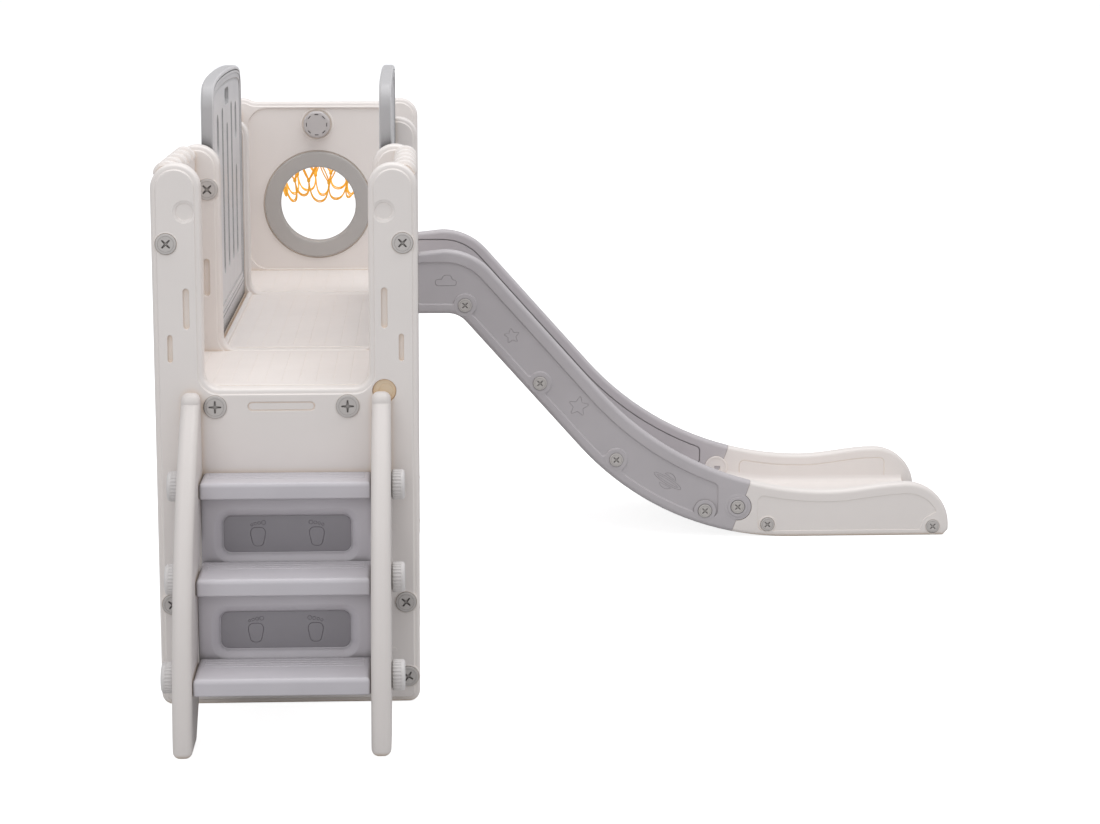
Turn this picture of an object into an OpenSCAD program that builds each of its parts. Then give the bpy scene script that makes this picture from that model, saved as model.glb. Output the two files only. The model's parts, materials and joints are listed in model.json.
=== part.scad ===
// Free-standing slide play set: a climbing tower, a bridge with a crawl-through
// arch and fences, a slide tower with a window wall and a ball hoop, and a slide.
// X runs along the slide, Y from the ladder to the hoop, Z up from the ground.
// The modules draw in the tower frame: X from the tower's middle, Y from the
// front panel's face. home() then moves all to the middle of the footprint.

/* [Tower panels] */
// Width of each tower panel
panel_w = 440; // [400:5:500]
// Height of the rounded post tops
panel_h = 925; // [880:5:1000]
// Thickness of the moulded panels
panel_t = 40; // [34:1:48]
// Width of the posts beside an entry
post_w = 82; // [76:1:92]
// Height of the decks
deck_z = 548; // [500:2:580]
// Depth of a deck moulding
deck_t = 56; // [44:1:60]
// Corner radius at the foot of an entry
throat_r = 26; // [10:1:36]
// Corner radius at the foot of a panel
foot_r = 19; // [10:1:30]
// Width of the stepped band round a panel
band_w = 9; // [6:0.5:12]
// Height of the step of that band
band_h = 3; // [1:0.5:5]
// Distance between the front faces of a tower's two panels
tower_pitch = 356; // [320:2:420]

/* [Panel details] */
// Width of the upright slot in a post
slot_w = 10; // [8:1:12]
// Distance of that slot inside the panel's edge
slot_in = 56; // [50:1:60]
// Its top, below the post tops
slot_drop = 207; // [190:1:220]
// Its length
slot_len = 68; // [50:1:80]
// Width of the narrow slot near the panel's edge
vent_w = 8; // [6:1:10]
// Distance of that slot inside the panel's edge
vent_in = 28; // [22:1:30]
// Its top, below the post tops
vent_drop = 285; // [270:1:300]
// Its length
vent_len = 46; // [30:1:60]
// Radius of the shallow dish high on a post
mark_r = 19; // [14:0.5:22]
// Its middle, below the post tops
mark_drop = 79; // [70:1:90]
// Its depth
mark_d = 2; // [1:0.5:3]
// Radius of the round socket beside the ladder
socket_r = 20; // [16:0.5:24]
// Distance of the socket inside the panel's edge
socket_in = 57; // [50:1:60]
// Its middle, below the deck
socket_drop = 5; // [0:1:10]
// Depth of the socket
socket_d = 28; // [20:1:32]
// Length of the sunk bar below the entry
bar_w = 112; // [90:1:130]
// Height of that bar
bar_h = 15; // [10:1:20]
// Its foot, below the deck
bar_drop = 37; // [30:1:45]
// Its depth
bar_d = 1.5; // [1:0.5:3]

/* [Side walls] */
// Thickness of a side wall
wall_t = 36; // [30:1:38]
// Grip ribs on top of a side wall
rib_count = 5; // [3:1:7]
// Length of one grip rib along the wall
rib_len = 22; // [12:1:30]
// How far a grip rib stands out
rib_h = 3; // [1:0.5:4]
// Margin round the sunk field of a side wall
field_margin = 44; // [30:1:60]
// Depth of the sunk field
field_d = 4; // [1:0.5:8]
// Corner radius of the sunk field
field_r = 30; // [16:1:50]

/* [Bridge] */
// Length of the bridge between the towers
bridge_len = 628; // [560:4:720]
// Distance from a side wall's inner face to a fence's middle
fence_in = 19; // [14:1:24]
// Thickness of a fence
fence_t = 23; // [18:1:26]
// Height of a fence's shoulders above the deck
fence_h = 484; // [440:2:540]
// Rise of a fence's crown above its shoulders
crown_h = 14; // [6:1:30]
// Radius of a fence's shoulders
shoulder_r = 46; // [20:1:60]
// Width of the upright gaps in a fence
gap_w = 22; // [14:1:26]
// Distance between the gaps
gap_pitch = 98; // [90:1:104]
// Height of the gaps' feet above the deck
gap_foot = 110; // [90:1:130]
// Tops of the long gaps, below the shoulders
gap_drop = 62; // [50:1:80]
// Top of the middle gap, below the shoulders
mid_gap_drop = 97; // [80:1:120]
// Tops of the outer gaps, below the shoulders
low_gap_drop = 197; // [180:1:220]
// Width of the ovals above the outer gaps
oval_w = 30; // [20:1:36]
// Length of those ovals
oval_h = 68; // [50:1:80]
// Tops of the ovals, below the shoulders
oval_drop = 68; // [60:1:90]
// Width of the flat hole above the middle gap
hole_w = 76; // [50:1:84]
// Height of that hole
hole_h = 22; // [14:1:26]
// Foot of that hole, below the shoulders
hole_drop = 50; // [40:1:60]
// Distance of the moulded groove from a fence's edge
groove_in = 25; // [18:1:30]
// Width of that groove
groove_w = 5; // [3:0.5:7]
// Its depth
groove_d = 2; // [1:0.5:3]
// Its foot above the deck
groove_foot = 52; // [40:1:70]
// Thickness of an arch side
arch_t = 36; // [28:1:42]
// Width of the crawl-through arch
arch_w = 420; // [360:2:460]
// Height of the arch's straight legs
arch_leg_z = 190; // [150:2:220]

/* [Window wall] */
// Height of the window wall between its corners
wall_top = 934; // [926:1:960]
// Height of its rounded corners
corner_top = 942; // [936:1:970]
// Height of the window's middle
window_z = 700; // [690:1:720]
// Inner radius of the window ring
ring_in = 86; // [78:1:90]
// Outer radius of the window ring
ring_out = 121; // [114:1:128]
// Radius of the window ring's sleeve
sleeve_r = 100; // [94:1:106]
// Thickness of the window ring's flange
ring_t = 7; // [5:0.5:10]
// Margin of the sunk field in the window wall
window_margin = 14; // [8:1:20]
// Corner radius of that field
window_r = 44; // [30:1:60]
// How far the middle fittings stand to the left of the middle
mid_shift = 9; // [0:1:14]

/* [Ball hoop] */
// Height of the hoop's hand nut
hoop_nut_z = 884; // [876:1:896]
// Radius of the hoop's hand nut
hoop_nut_r = 32; // [28:1:36]
// Radius of the hoop to the middle of its rim
hoop_r = 112; // [95:1:130]
// Radius of the rim itself
rim_r = 9; // [7:0.5:12]
// Height of the rim
rim_z = 846; // [830:1:860]
// Thickness of the hoop's back plate
plate_t = 12; // [8:1:18]
// Width of the hoop's back plate
plate_w = 96; // [70:1:120]
// Height of the plate above the hand nut's middle
plate_rise = 36; // [24:1:44]
// Corner radius of the plate
plate_r = 16; // [8:1:24]
// Gap between the plate and the rim
hoop_gap = 16; // [10:1:24]
// Width of the arms between them
arm_w = 12; // [8:1:18]
// Distance from the middle to an arm
arm_x = 30; // [22:1:36]
// Length of the net
net_len = 146; // [110:1:170]
// Radius of the net at its lower end
net_r = 80; // [65:1:95]
// Loops round the net
net_loops = 10; // [8:1:12]
// Radius of the net's cord
cord_r = 1.6; // [1.2:0.1:2.2]

/* [Ladder] */
// How far the ladder's feet stand out
ladder_reach = 257; // [230:1:300]
// Height of the ladder's top
ladder_top = 546; // [490:1:560]
// Radius of the stringers' top ends
cap_r = 17; // [14:1:20]
// Thickness of a stringer
stringer_t = 32; // [26:1:36]
// Depth of a stringer
stringer_d = 124; // [115:1:135]
// Length of the slant at the back of a stringer's foot
heel = 48; // [20:1:60]
// Clear width between the stringers
tread_w = 284; // [260:1:300]
// Height of one step
step_rise = 141; // [130:1:146]
// How far each step stands in front of the one above
step_run = 78; // [70:1:84]
// Depth of a full tread
tread_d = 112; // [100:1:116]
// Thickness of a tread
tread_t = 28; // [22:1:34]
// Thickness of a riser
riser_t = 18; // [12:1:22]
// Width of a riser's sunk field
riser_field_w = 210; // [160:1:230]
// Height of that field
riser_field_h = 64; // [50:1:76]
// Its depth
riser_field_d = 9; // [4:1:10]
// How far that field sits below the middle of what shows of the riser
riser_field_low = 12; // [4:1:14]
// Its corner radius
riser_field_r = 14; // [8:1:20]
// Radius of a tread's long edges
tread_r = 6; // [3:0.5:9]
// Radius of the tie rods
rod_r = 5; // [4:0.5:6]
// Radius of the ladder's hand nuts
nut_r = 25; // [20:0.5:28]
// Length of the ladder's hand nuts
nut_len = 22; // [16:1:26]
// Grip flutes round a hand nut
flutes = 16; // [10:1:20]
// Radius of one flute
flute_r = 2.4; // [1.5:0.1:3]
// Step at the face of a hand nut, and the wall that closes its bore
nut_step = 3; // [2:0.5:5]
// Length of the hoop's hand nut
hoop_nut_len = 24; // [18:1:28]

/* [Slide] */
// Width of the slide over its rails
slide_w = 372; // [340:1:380]
// Thickness of a rail
rail_t = 28; // [20:1:34]
// Steepness of the slope
slope = 48.3; // [42:0.1:52]
// Height of the rail crest above the deck
crest_h = 92; // [70:1:120]
// Radius of the rail's crest
crest_r = 136; // [110:1:170]
// Radius of the rail's run-out
flare_r = 670; // [560:5:760]
// Depth of the rail at the tower
crest_d = 138; // [126:1:150]
// Depth of the rail across the slope
rail_d = 114; // [100:1:124]
// Radius under the rail's crest
under_r = 54; // [40:1:80]
// Radius under the rail's run-out
heel_r = 614; // [520:2:660]
// Height of the rail at the run-out
end_h = 103; // [92:1:120]
// Length of the level rail at the tower
crest_run = 55; // [40:1:80]
// Depth of the sliding surface below the rail's top, across the slope
bed_below = 62; // [50:1:72]
// Thickness of the sliding bed
bed_t = 26; // [18:1:32]
// Height of the sliding surface at the run-out
bed_end_z = 40; // [32:1:50]
// Where the run-out begins to rise, past the end of the flare
hump_run = 175; // [140:1:220]
// Rise of the last hump of the rails
hump_h = 16; // [6:1:24]
// Radius of the rails' noses
nose_r = 95; // [80:1:105]
// Where the two slide lengths join, measured back from the flare's end
joint_back = 178; // [120:1:220]
// Lean of that joint
joint_lean = 20; // [10:1:25]
// Radius of the round boss on the joint
boss_r = 30; // [24:1:36]
// Height of that boss
boss_z = 69; // [60:1:75]
// Its distance before the top of the joint
boss_back = 20; // [14:1:26]
// How far the sliding bed reaches onto the deck, and how far it stands up there
lip_in = 30; // [20:1:36]
lip_h = 8; // [5:0.5:10]
// How far the bed ends before the noses
bed_short = 30; // [20:1:40]
// Distance of the slide in front of the slide tower's middle
slide_shift = 6; // [0:1:10]

/* [Screws] */
// Radius of the wall screws' heads
wall_head_r = 17.5; // [14:0.5:18]
// Depth of the upper wall screws below the post tops
wall_screw_drop = 132; // [120:1:140]
// Height of the middle wall screws
wall_screw_mid = 178; // [160:1:200]
// Height of the low wall screws
wall_screw_low = 47; // [40:1:60]
// Depth of the fence screws below the post tops
fence_screw_drop = 80; // [70:1:90]
// Depth of the deck screws below the deck
deck_screw_drop = 30; // [24:1:34]
// Gap between a deck screw's head and the ladder's side
deck_screw_gap = 3; // [2:1:10]
// Radius of the deck and fence screws' heads
deck_head_r = 19.5; // [16:0.5:20]
// Radius of the slide screws' heads
slide_head_r = 15; // [12:0.5:16]
// Height of a screw's head
head_h = 6; // [4:0.5:8]
// Radius of a screw's shank
shank_r = 7; // [5:0.5:8]
// How far a screw reaches beyond the panel that it holds
shank_in = 18; // [10:1:24]
// Distance of the slide screws from the rail's lower edge
slide_screw_in = 29; // [24:1:36]

/* [Hidden] */
$fn = 64;

warm_white = [0.86, 0.84, 0.82];
cool_grey = [0.63, 0.62, 0.64];
light_grey = [0.78, 0.78, 0.79];
warm_grey = [0.67, 0.65, 0.64];
net_orange = [0.94, 0.63, 0.16];

// Clearances: round a fixed shank, round a turning nut, and between a nut and its seat
shank_gap = 0.1;
turn_gap = 0.05;
seat_gap = 0.3;

// Places along Y of the four panels' front faces
rear_y = tower_pitch;
bridge_y = rear_y + panel_t;
slide_y = bridge_y + bridge_len;
window_y = slide_y + tower_pitch;
back_y = window_y + panel_t;

half_w = panel_w / 2;
throat_w = panel_w - 2 * post_w;
post_x = half_w - post_w / 2;
post_top_z = panel_h - post_w / 2;
wall_x = half_w - rib_h - wall_t / 2;
wall_in_x = wall_x - wall_t / 2;
fence_x = wall_in_x - fence_in;
bridge_half = fence_x + fence_t / 2 + 4;

// Screws of the walls: distance inside the panel's edge and height
wall_screw_in = [25, 23, 20];
wall_screw_z = [panel_h - wall_screw_drop, wall_screw_mid, wall_screw_low];
deck_screw_z = deck_z - deck_screw_drop;
deck_screw_x = tread_w / 2 - deck_head_r - deck_screw_gap - mid_shift;
fence_screw_x = wall_in_x - deck_head_r - 1;
fence_screw_z = panel_h - fence_screw_drop;
shank_len = panel_t + shank_in;

// Hoop and the stud that holds it
stud_r = 8;
plate_y = back_y;
hoop_y = plate_y + plate_t + hoop_gap + rim_r + hoop_r;
plate_low_z = rim_z - 2 * rim_r;
plate_h = hoop_nut_z - plate_low_z + plate_rise;

// Ladder: the front of a stringer is an arc that stands upright at the foot
arc_run = ladder_reach - 2 * cap_r;
arc_top = ladder_top - cap_r;
arc_r = (arc_run * arc_run + arc_top * arc_top) / (2 * arc_run);
arc_y = arc_r - ladder_reach;
stringer_x = tread_w / 2 + stringer_t / 2;
nut_seat_x = tread_w / 2 + stringer_t + seat_gap;
rod_half = nut_seat_x + nut_len - nut_step - 2;

// Slide: side outline as tangent arcs; a steep line joins the crest and the flare
slope_s = sin(slope);
slope_t = 1 - cos(slope);
slope_tan = tan(slope);
crest_z = deck_z + crest_h;
crest_x = half_w + crest_run;
slope_p = [crest_x + crest_r * slope_s, crest_z - crest_r * slope_t];
flare_x = flare_end(slope_p, end_h, flare_r);
under_p = slope_p - rail_d * [slope_s, cos(slope)];
under_x = crest_start(under_p, crest_z - crest_d, under_r);
heel_x = flare_end(under_p, 0, heel_r);
bed_p = slope_p - bed_below * [slope_s, cos(slope)];
bed_crest_r = crest_r - bed_below / 2;
bed_x = crest_start(bed_p, deck_z + 2, bed_crest_r);
bed_flare_r = flare_r - 30;
bed_end_x = flare_end(bed_p, bed_end_z, bed_flare_r);
hump_x = flare_x + hump_run;
hump_z = end_h + hump_h;
nose_z = hump_z - nose_r;
slide_end_x = hump_x + nose_r;
joint_x = flare_x - joint_back;
joint_gap = 0.4;
slide_front_y = slide_y + (tower_pitch + panel_t - slide_w) / 2 - slide_shift;
slide_back_y = slide_front_y + slide_w;
lip_x = half_w - lip_in;
whole = 2 * (slide_end_x + panel_h);

// Middle of the footprint
left_x = -max(half_w, nut_seat_x + nut_len);
far_y = hoop_y + hoop_r + rim_r;
home_x = (left_x + slide_end_x) / 2;
home_y = (far_y - ladder_reach) / 2;

// Where the level crest ends and bends down to a line through p, for radius r
function crest_start(p, z, r) = p[0] + (p[1] - z + r * slope_t) / slope_tan - r * slope_s;
// Where a flare of radius r from the line through p comes level at height z
function flare_end(p, z, r) = p[0] + (p[1] - z - r * slope_t) / slope_tan + r * slope_s;
// Points of a crest arc and of a flare arc
function crest_arc(x, z, r, n) = [for (i = [0:n]) [x + r * sin(slope * i / n),
    z - r * (1 - cos(slope * i / n))]];
function flare_arc(x, z, r, n) = [for (i = [n:-1:0]) [x - r * sin(slope * i / n),
    z + r * (1 - cos(slope * i / n))]];
function turned(list) = [for (i = [len(list) - 1:-1:0]) list[i]];

module home() translate([-home_x, -home_y, 0]) children();

// Stands a flat outline up across the set: its y becomes Z, from y0 back by t
module stand(y0, t) translate([0, y0 + t, 0]) rotate([90, 0, 0]) linear_extrude(t) children();

// Stands a flat outline up along the set: its x becomes Y, from x0 by t to +X
module stand_side(x0, t) translate([x0, 0, 0]) rotate([90, 0, 90]) linear_extrude(t) children();

// Rectangle with round corners, centred on X, standing on y = 0
module round_rect(w, h, r) {
    translate([-w / 2 + r, 0]) square([w - 2 * r, h]);
    translate([-w / 2, r]) square([w, h - 2 * r]);
    for (x = [-w / 2 + r, w / 2 - r], y = [r, h - r]) translate([x, y]) circle(r);
}

// Upright slot with round ends, from y0 to y1, or hanging down from y = 0
module slot(w, y0, y1) translate([0, y0]) round_rect(w, y1 - y0, w / 2 - 0.01);
module hung_slot(w, len) slot(w, -len, 0);

// Screw: its head stands on z = 0 and its shank points down
module screw(head_r) {
    difference() {
        union() {
            cylinder(r = head_r, h = head_h * 0.6);
            translate([0, 0, head_h * 0.6]) cylinder(r = head_r * 0.88, h = head_h * 0.4);
        }
        for (a = [45, 135]) rotate([0, 0, a])
            translate([-head_r * 0.45, -head_r * 0.09, head_h / 2]) cube([head_r * 0.9, head_r * 0.18, head_h]);
    }
    translate([0, 0, -shank_len]) cylinder(r = shank_r, h = shank_len);
}
module screw_bore() translate([0, 0, -shank_len - 1])
    cylinder(r = shank_r + shank_gap, h = shank_len + 2);

// Faces a child's +Z to the ladder (-Y) or to the hoop (+Y) at a place in the tower frame
module facing_front(x, y, z) translate([x, y, z]) rotate([90, 0, 0]) children();
module facing_back(x, y, z) translate([x, y, z]) rotate([-90, 0, 0]) children();

// Places of the screws of a tower: its near panel, then its far panel
module near_wall_screws(y, sides, first) for (s = sides, i = [first:2])
    facing_front(s * (half_w - wall_screw_in[i]), y, wall_screw_z[i]) children();
module far_wall_screws(y, sides, first) for (s = sides, i = [first:2])
    facing_back(s * (half_w - wall_screw_in[i]), y + panel_t, wall_screw_z[i]) children();
module tower_screws() {
    near_wall_screws(0, [-1, 1], 0) children();
    far_wall_screws(rear_y, [-1, 1], 0) children();
}
module slide_tower_screws() {
    near_wall_screws(slide_y, [-1], 0) children();
    near_wall_screws(slide_y, [1], 1) children();
    far_wall_screws(window_y, [-1], 0) children();
    far_wall_screws(window_y, [1], 1) children();
}
module deck_screw_places() for (s = [-1, 1])
    facing_front(s * deck_screw_x - mid_shift, 0, deck_screw_z) children();
module fence_screw_places() for (s = [-1, 1]) {
    facing_front(s * fence_screw_x, rear_y, fence_screw_z) children();
    facing_back(s * fence_screw_x, slide_y + panel_t, fence_screw_z) children();
}

// Outline of a panel with an open entry between two posts, drawn in by inset
module entry_outline(inset) difference() {
    union() {
        translate([0, inset]) round_rect(panel_w - 2 * inset, deck_z, foot_r);
        for (s = [-1, 1]) {
            translate([s * post_x - post_w / 2 + inset, deck_z / 2])
                square([post_w - 2 * inset, post_top_z - deck_z / 2]);
            translate([s * post_x, post_top_z]) circle(post_w / 2 - inset);
        }
    }
    translate([0, deck_z - inset]) round_rect(throat_w + 2 * inset, panel_h, throat_r + inset);
    for (s = [-1, 1]) {
        translate([s * (half_w - slot_in), panel_h - slot_drop]) hung_slot(slot_w, slot_len);
        translate([s * (half_w - vent_in), panel_h - vent_drop]) hung_slot(vent_w, vent_len);
    }
}

// Panel with an entry, its front face at y
module entry_panel(y) {
    stand(y + band_h, panel_t - 2 * band_h) entry_outline(0);
    stand(y, panel_t) entry_outline(band_w);
}

module front_panel() color(warm_white) home() {
    difference() {
        entry_panel(0);
        tower_screws() screw_bore();
        deck_screw_places() screw_bore();
        // Shallow dishes high on the posts
        for (s = [-1, 1]) stand(-1, mark_d + 1) translate([s * (half_w - slot_in), panel_h - mark_drop])
            circle(mark_r);
        // Round socket beside the ladder's top
        facing_front(half_w - socket_in, 0, deck_z - socket_drop) translate([0, 0, -socket_d])
            cylinder(r = socket_r, h = socket_d + 1);
        // Sunk bar below the entry
        translate([-mid_shift, 0, 0]) stand(-1, bar_d + 1) translate([0, deck_z - bar_drop])
            round_rect(bar_w, bar_h, bar_h / 2 - 0.1);
    }
}

module tower_rear_panel() color(warm_white) home() difference() {
    entry_panel(rear_y);
    tower_screws() screw_bore();
    fence_screw_places() screw_bore();
}

module slide_tower_panel() color(warm_white) home() difference() {
    entry_panel(slide_y);
    slide_tower_screws() screw_bore();
    fence_screw_places() screw_bore();
}

// Side wall between two panels, with a round ribbed top; x is its middle, out its outer side
module side_wall(x, y, out) {
    len = tower_pitch - panel_t;
    y0 = y + panel_t;
    top_z = panel_h - rib_h - wall_t / 2;
    pitch = (len - 2 * rib_len) / (rib_count - 1);
    difference() {
        union() {
            translate([x - wall_t / 2, y0, 0]) cube([wall_t, len, top_z]);
            translate([x, y0, top_z]) rotate([-90, 0, 0]) cylinder(r = wall_t / 2, h = len);
            for (i = [0:rib_count - 1])
                translate([x, y0 + rib_len / 2 + i * pitch, top_z]) rotate([-90, 0, 0])
                    cylinder(r = wall_t / 2 + rib_h, h = rib_len);
        }
        sunk_field(x, y0, len, out, top_z - wall_t / 2 - field_margin);
    }
}
// Sunk field on the outer face of a side wall
module sunk_field(x, y0, len, out, top) stand_side(x + (out > 0 ? wall_t / 2 - field_d : -wall_t / 2 - 1),
    field_d + 1) translate([y0 + len / 2, field_margin])
        round_rect(len - 2 * field_margin, top - field_margin, field_r);

module tower_side_left() color(warm_white) home() difference() {
    side_wall(-wall_x, 0, -1);
    tower_screws() screw_bore();
}
module tower_side_right() color(warm_white) home() difference() {
    side_wall(wall_x, 0, 1);
    tower_screws() screw_bore();
}
module slide_tower_side_left() color(warm_white) home() difference() {
    side_wall(-wall_x, slide_y, -1);
    slide_tower_screws() screw_bore();
}
// Low wall below the slide's entry
module slide_tower_side_right() color(warm_white) home() difference() {
    translate([wall_in_x, slide_y + panel_t, 0])
        cube([wall_t, tower_pitch - panel_t, deck_z - deck_t]);
    sunk_field(wall_x, slide_y + panel_t, tower_pitch - panel_t, 1, deck_z - deck_t - field_margin);
    slide_tower_screws() screw_bore();
}

module deck_block(x0, x1, y0, y1) translate([x0, y0, deck_z - deck_t])
    cube([x1 - x0, y1 - y0, deck_t]);

module tower_deck() color(warm_white) home() difference() {
    deck_block(-wall_in_x, wall_in_x, panel_t, rear_y);
    deck_screw_places() screw_bore();
}
module bridge_deck() color(warm_white) home() deck_block(-bridge_half, bridge_half, bridge_y, slide_y);
module slide_tower_deck() color(warm_white) home()
    deck_block(-wall_in_x, half_w, slide_y + panel_t, window_y);

// Side of the crawl-through under the bridge
module arch_side(x0) stand_side(x0, arch_t) difference() {
    translate([bridge_y, 0]) square([bridge_len, deck_z - deck_t]);
    translate([bridge_y + bridge_len / 2, arch_leg_z]) circle(arch_w / 2);
    translate([bridge_y + (bridge_len - arch_w) / 2, -1]) square([arch_w, arch_leg_z + 1]);
}
module arch_side_left() color(warm_white) home() arch_side(-bridge_half);
module arch_side_right() color(warm_white) home() arch_side(bridge_half - arch_t);

// Fence beside the bridge: shoulders, a low crown and upright gaps
function left_shoulder() = [for (a = [0:9:90])
    [shoulder_r * (1 - cos(a)), fence_h - shoulder_r * (1 - sin(a))]];
function crown(mid) = [for (a = [9:9:171])
    [mid - (mid - shoulder_r) * cos(a), fence_h + crown_h * sin(a)]];
function mirrored(list, width) = [for (p = turned(list)) [width - p[0], p[1]]];
module fence_outline() {
    mid = bridge_len / 2;
    difference() {
        polygon(concat([[0, 0]], left_shoulder(), crown(mid), mirrored(left_shoulder(), bridge_len),
            [[bridge_len, 0]]));
        for (s = [-1, 1]) {
            translate([mid + s * gap_pitch, 0]) slot(gap_w, gap_foot, fence_h - gap_drop);
            translate([mid + 2 * s * gap_pitch, 0]) slot(gap_w, gap_foot, fence_h - low_gap_drop);
            translate([mid + 2 * s * gap_pitch, fence_h - oval_drop]) hung_slot(oval_w, oval_h);
        }
        translate([mid, 0]) slot(gap_w, gap_foot, fence_h - mid_gap_drop);
        translate([mid, fence_h - hole_drop]) round_rect(hole_w, hole_h, hole_h / 4);
    }
}
module fence(x) difference() {
    stand_side(x - fence_t / 2, fence_t) translate([bridge_y, deck_z]) fence_outline();
    // Grooves that follow the outline on both faces
    for (x0 = [x - fence_t / 2 - 1, x + fence_t / 2 - groove_d]) stand_side(x0, groove_d + 1)
        translate([bridge_y + bridge_len / 2, deck_z + groove_foot]) difference() {
            round_rect(bridge_len - 2 * groove_in, fence_h - groove_foot - groove_in, shoulder_r - groove_w);
            translate([0, groove_w]) round_rect(bridge_len - 2 * groove_in - 2 * groove_w,
                fence_h - groove_foot - groove_in - 2 * groove_w, shoulder_r - 2 * groove_w);
        }
    fence_screw_places() screw_bore();
}
module fence_left() color(light_grey) home() fence(-fence_x);
module fence_right() color(light_grey) home() fence(fence_x);

// Solid wall at the far end, with the window and the hoop's bolt hole
module window_outline(inset) {
    top_r = post_w / 2;
    difference() {
        union() {
            translate([0, inset]) round_rect(panel_w - 2 * inset, deck_z, foot_r);
            translate([-half_w + inset, deck_z / 2])
                square([panel_w - 2 * inset, corner_top - top_r - deck_z / 2]);
            for (s = [-1, 1]) translate([s * (half_w - top_r), corner_top - top_r]) circle(top_r - inset);
            translate([-half_w + top_r, deck_z]) square([panel_w - 2 * top_r, wall_top - inset - deck_z]);
        }
        translate([-mid_shift, window_z]) circle(sleeve_r + seat_gap);
    }
}
module window_wall() color(warm_white) home() difference() {
    union() {
        stand(window_y + band_h, panel_t - 2 * band_h) window_outline(0);
        stand(window_y, panel_t) window_outline(band_w);
    }
    // Sunk field behind the rider
    stand(window_y - 1, field_d + 1) translate([0, deck_z + window_margin])
        round_rect(2 * (wall_in_x - window_margin), wall_top - deck_z - 2 * window_margin, window_r);
    slide_tower_screws() screw_bore();
    facing_front(-mid_shift, window_y + panel_t + 1, hoop_nut_z)
        cylinder(r = stud_r + shank_gap, h = panel_t + 2);
}
module window_ring() color(cool_grey) home() {
    face_y = window_y + field_d;
    translate([-mid_shift, face_y, window_z]) rotate([90, 0, 0]) difference() {
        cylinder(r = ring_out, h = ring_t, $fn = 96);
        translate([0, 0, -1]) cylinder(r = ring_in, h = ring_t + 2, $fn = 96);
    }
    translate([-mid_shift, back_y, window_z]) rotate([90, 0, 0]) difference() {
        cylinder(r = sleeve_r, h = back_y - face_y, $fn = 96);
        translate([0, 0, -1]) cylinder(r = ring_in, h = back_y - face_y + 2, $fn = 96);
    }
}

// Ball hoop on the back of the window wall
module hoop_rim() color(net_orange) home() difference() {
    union() {
        translate([-mid_shift, 0, plate_low_z]) stand(plate_y, plate_t) round_rect(plate_w, plate_h, plate_r);
        translate([-mid_shift, hoop_y, rim_z]) rotate_extrude($fn = 96) translate([hoop_r, 0]) circle(rim_r);
        // Two arms from the plate to the rim
        for (s = [-1, 1])
            translate([-mid_shift + s * arm_x - arm_w / 2, plate_y + plate_t / 2, rim_z - rim_r])
                cube([arm_w, plate_t / 2 + hoop_gap + 2 * rim_r, 2 * rim_r]);
    }
    facing_front(-mid_shift, plate_y + plate_t + 1, hoop_nut_z)
        cylinder(r = stud_r + shank_gap, h = plate_t + 2);
}
module hoop_stud() color(warm_grey) home() {
    facing_front(-mid_shift, plate_y + plate_t, hoop_nut_z)
        cylinder(r = stud_r, h = plate_t + panel_t - field_d + hoop_nut_len - 2 * nut_step);
    facing_back(-mid_shift, plate_y + plate_t, hoop_nut_z)
        cylinder(r = 2 * stud_r - 1, h = stud_r, $fn = 6);
}

// Net: cords that cross, each swept along its own slanting line
net_top_z = rim_z - rim_r - seat_gap;
net_turn = 1.5 * 360 / net_loops;
function net_point(a, t) = let (r = hoop_r + (net_r - hoop_r) * t + 6 * sin(180 * t))
    [r * cos(a), r * sin(a), net_top_z - net_len * t];
function cord_ring(a, t) = let (c = net_point(a, t), u = [cos(a), sin(a), 0], v = [-sin(a), cos(a), 0])
    [for (k = [0:5]) c + cord_r * (cos(60 * k) * u + sin(60 * k) * v)];
module cord(a0, turn, steps) {
    points = [for (i = [0:steps]) each cord_ring(a0 + turn * i / steps, i / steps)];
    sides = [for (i = [0:steps - 1], k = [0:5]) each
        [[6 * i + k, 6 * i + (k + 1) % 6, 6 * i + 6 + (k + 1) % 6],
         [6 * i + k, 6 * i + 6 + (k + 1) % 6, 6 * i + 6 + k]]];
    top = [for (k = [1:4]) [0, k + 1, k]];
    end = [for (k = [1:4]) [6 * steps, 6 * steps + k, 6 * steps + k + 1]];
    polyhedron(points, concat(sides, top, end));
}
module hoop_net() color(net_orange) home() translate([-mid_shift, hoop_y, 0])
    for (i = [0:net_loops - 1], s = [-1, 1]) cord(i * 360 / net_loops, s * net_turn, 8);

// Hand nut on z = 0, turning on a stud along Z that comes up from below
module hand_nut(r, len, stud) difference() {
    union() {
        cylinder(r = r, h = len - nut_step);
        translate([0, 0, len - nut_step]) cylinder(r = r - nut_step, h = nut_step);
    }
    for (i = [0:flutes - 1]) rotate([0, 0, i * 360 / flutes]) translate([r + flute_r / 3, 0, nut_step])
        cylinder(r = flute_r, h = len, $fn = 24);
    translate([0, 0, -1]) cylinder(r = stud + turn_gap, h = len - nut_step);
}
module hoop_nut() color(warm_grey) home()
    facing_front(-mid_shift, window_y + field_d - seat_gap, hoop_nut_z)
        hand_nut(hoop_nut_r, hoop_nut_len, stud_r);

// Step k counts down from the deck: its front, its back, its top and its rod's place
function step_front(k) = -k * step_run - 2;
function step_back(k) = min(0, step_front(k) + tread_d);
function step_top(k) = deck_z - k * step_rise;
function rod_place(k) = [(step_front(k) + step_back(k)) / 2, step_top(k) - tread_t / 2];

module rod_bores() for (k = [1:3]) translate([-half_w, rod_place(k)[0], rod_place(k)[1]])
    rotate([0, 90, 0]) cylinder(r = rod_r + shank_gap, h = panel_w);

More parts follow.
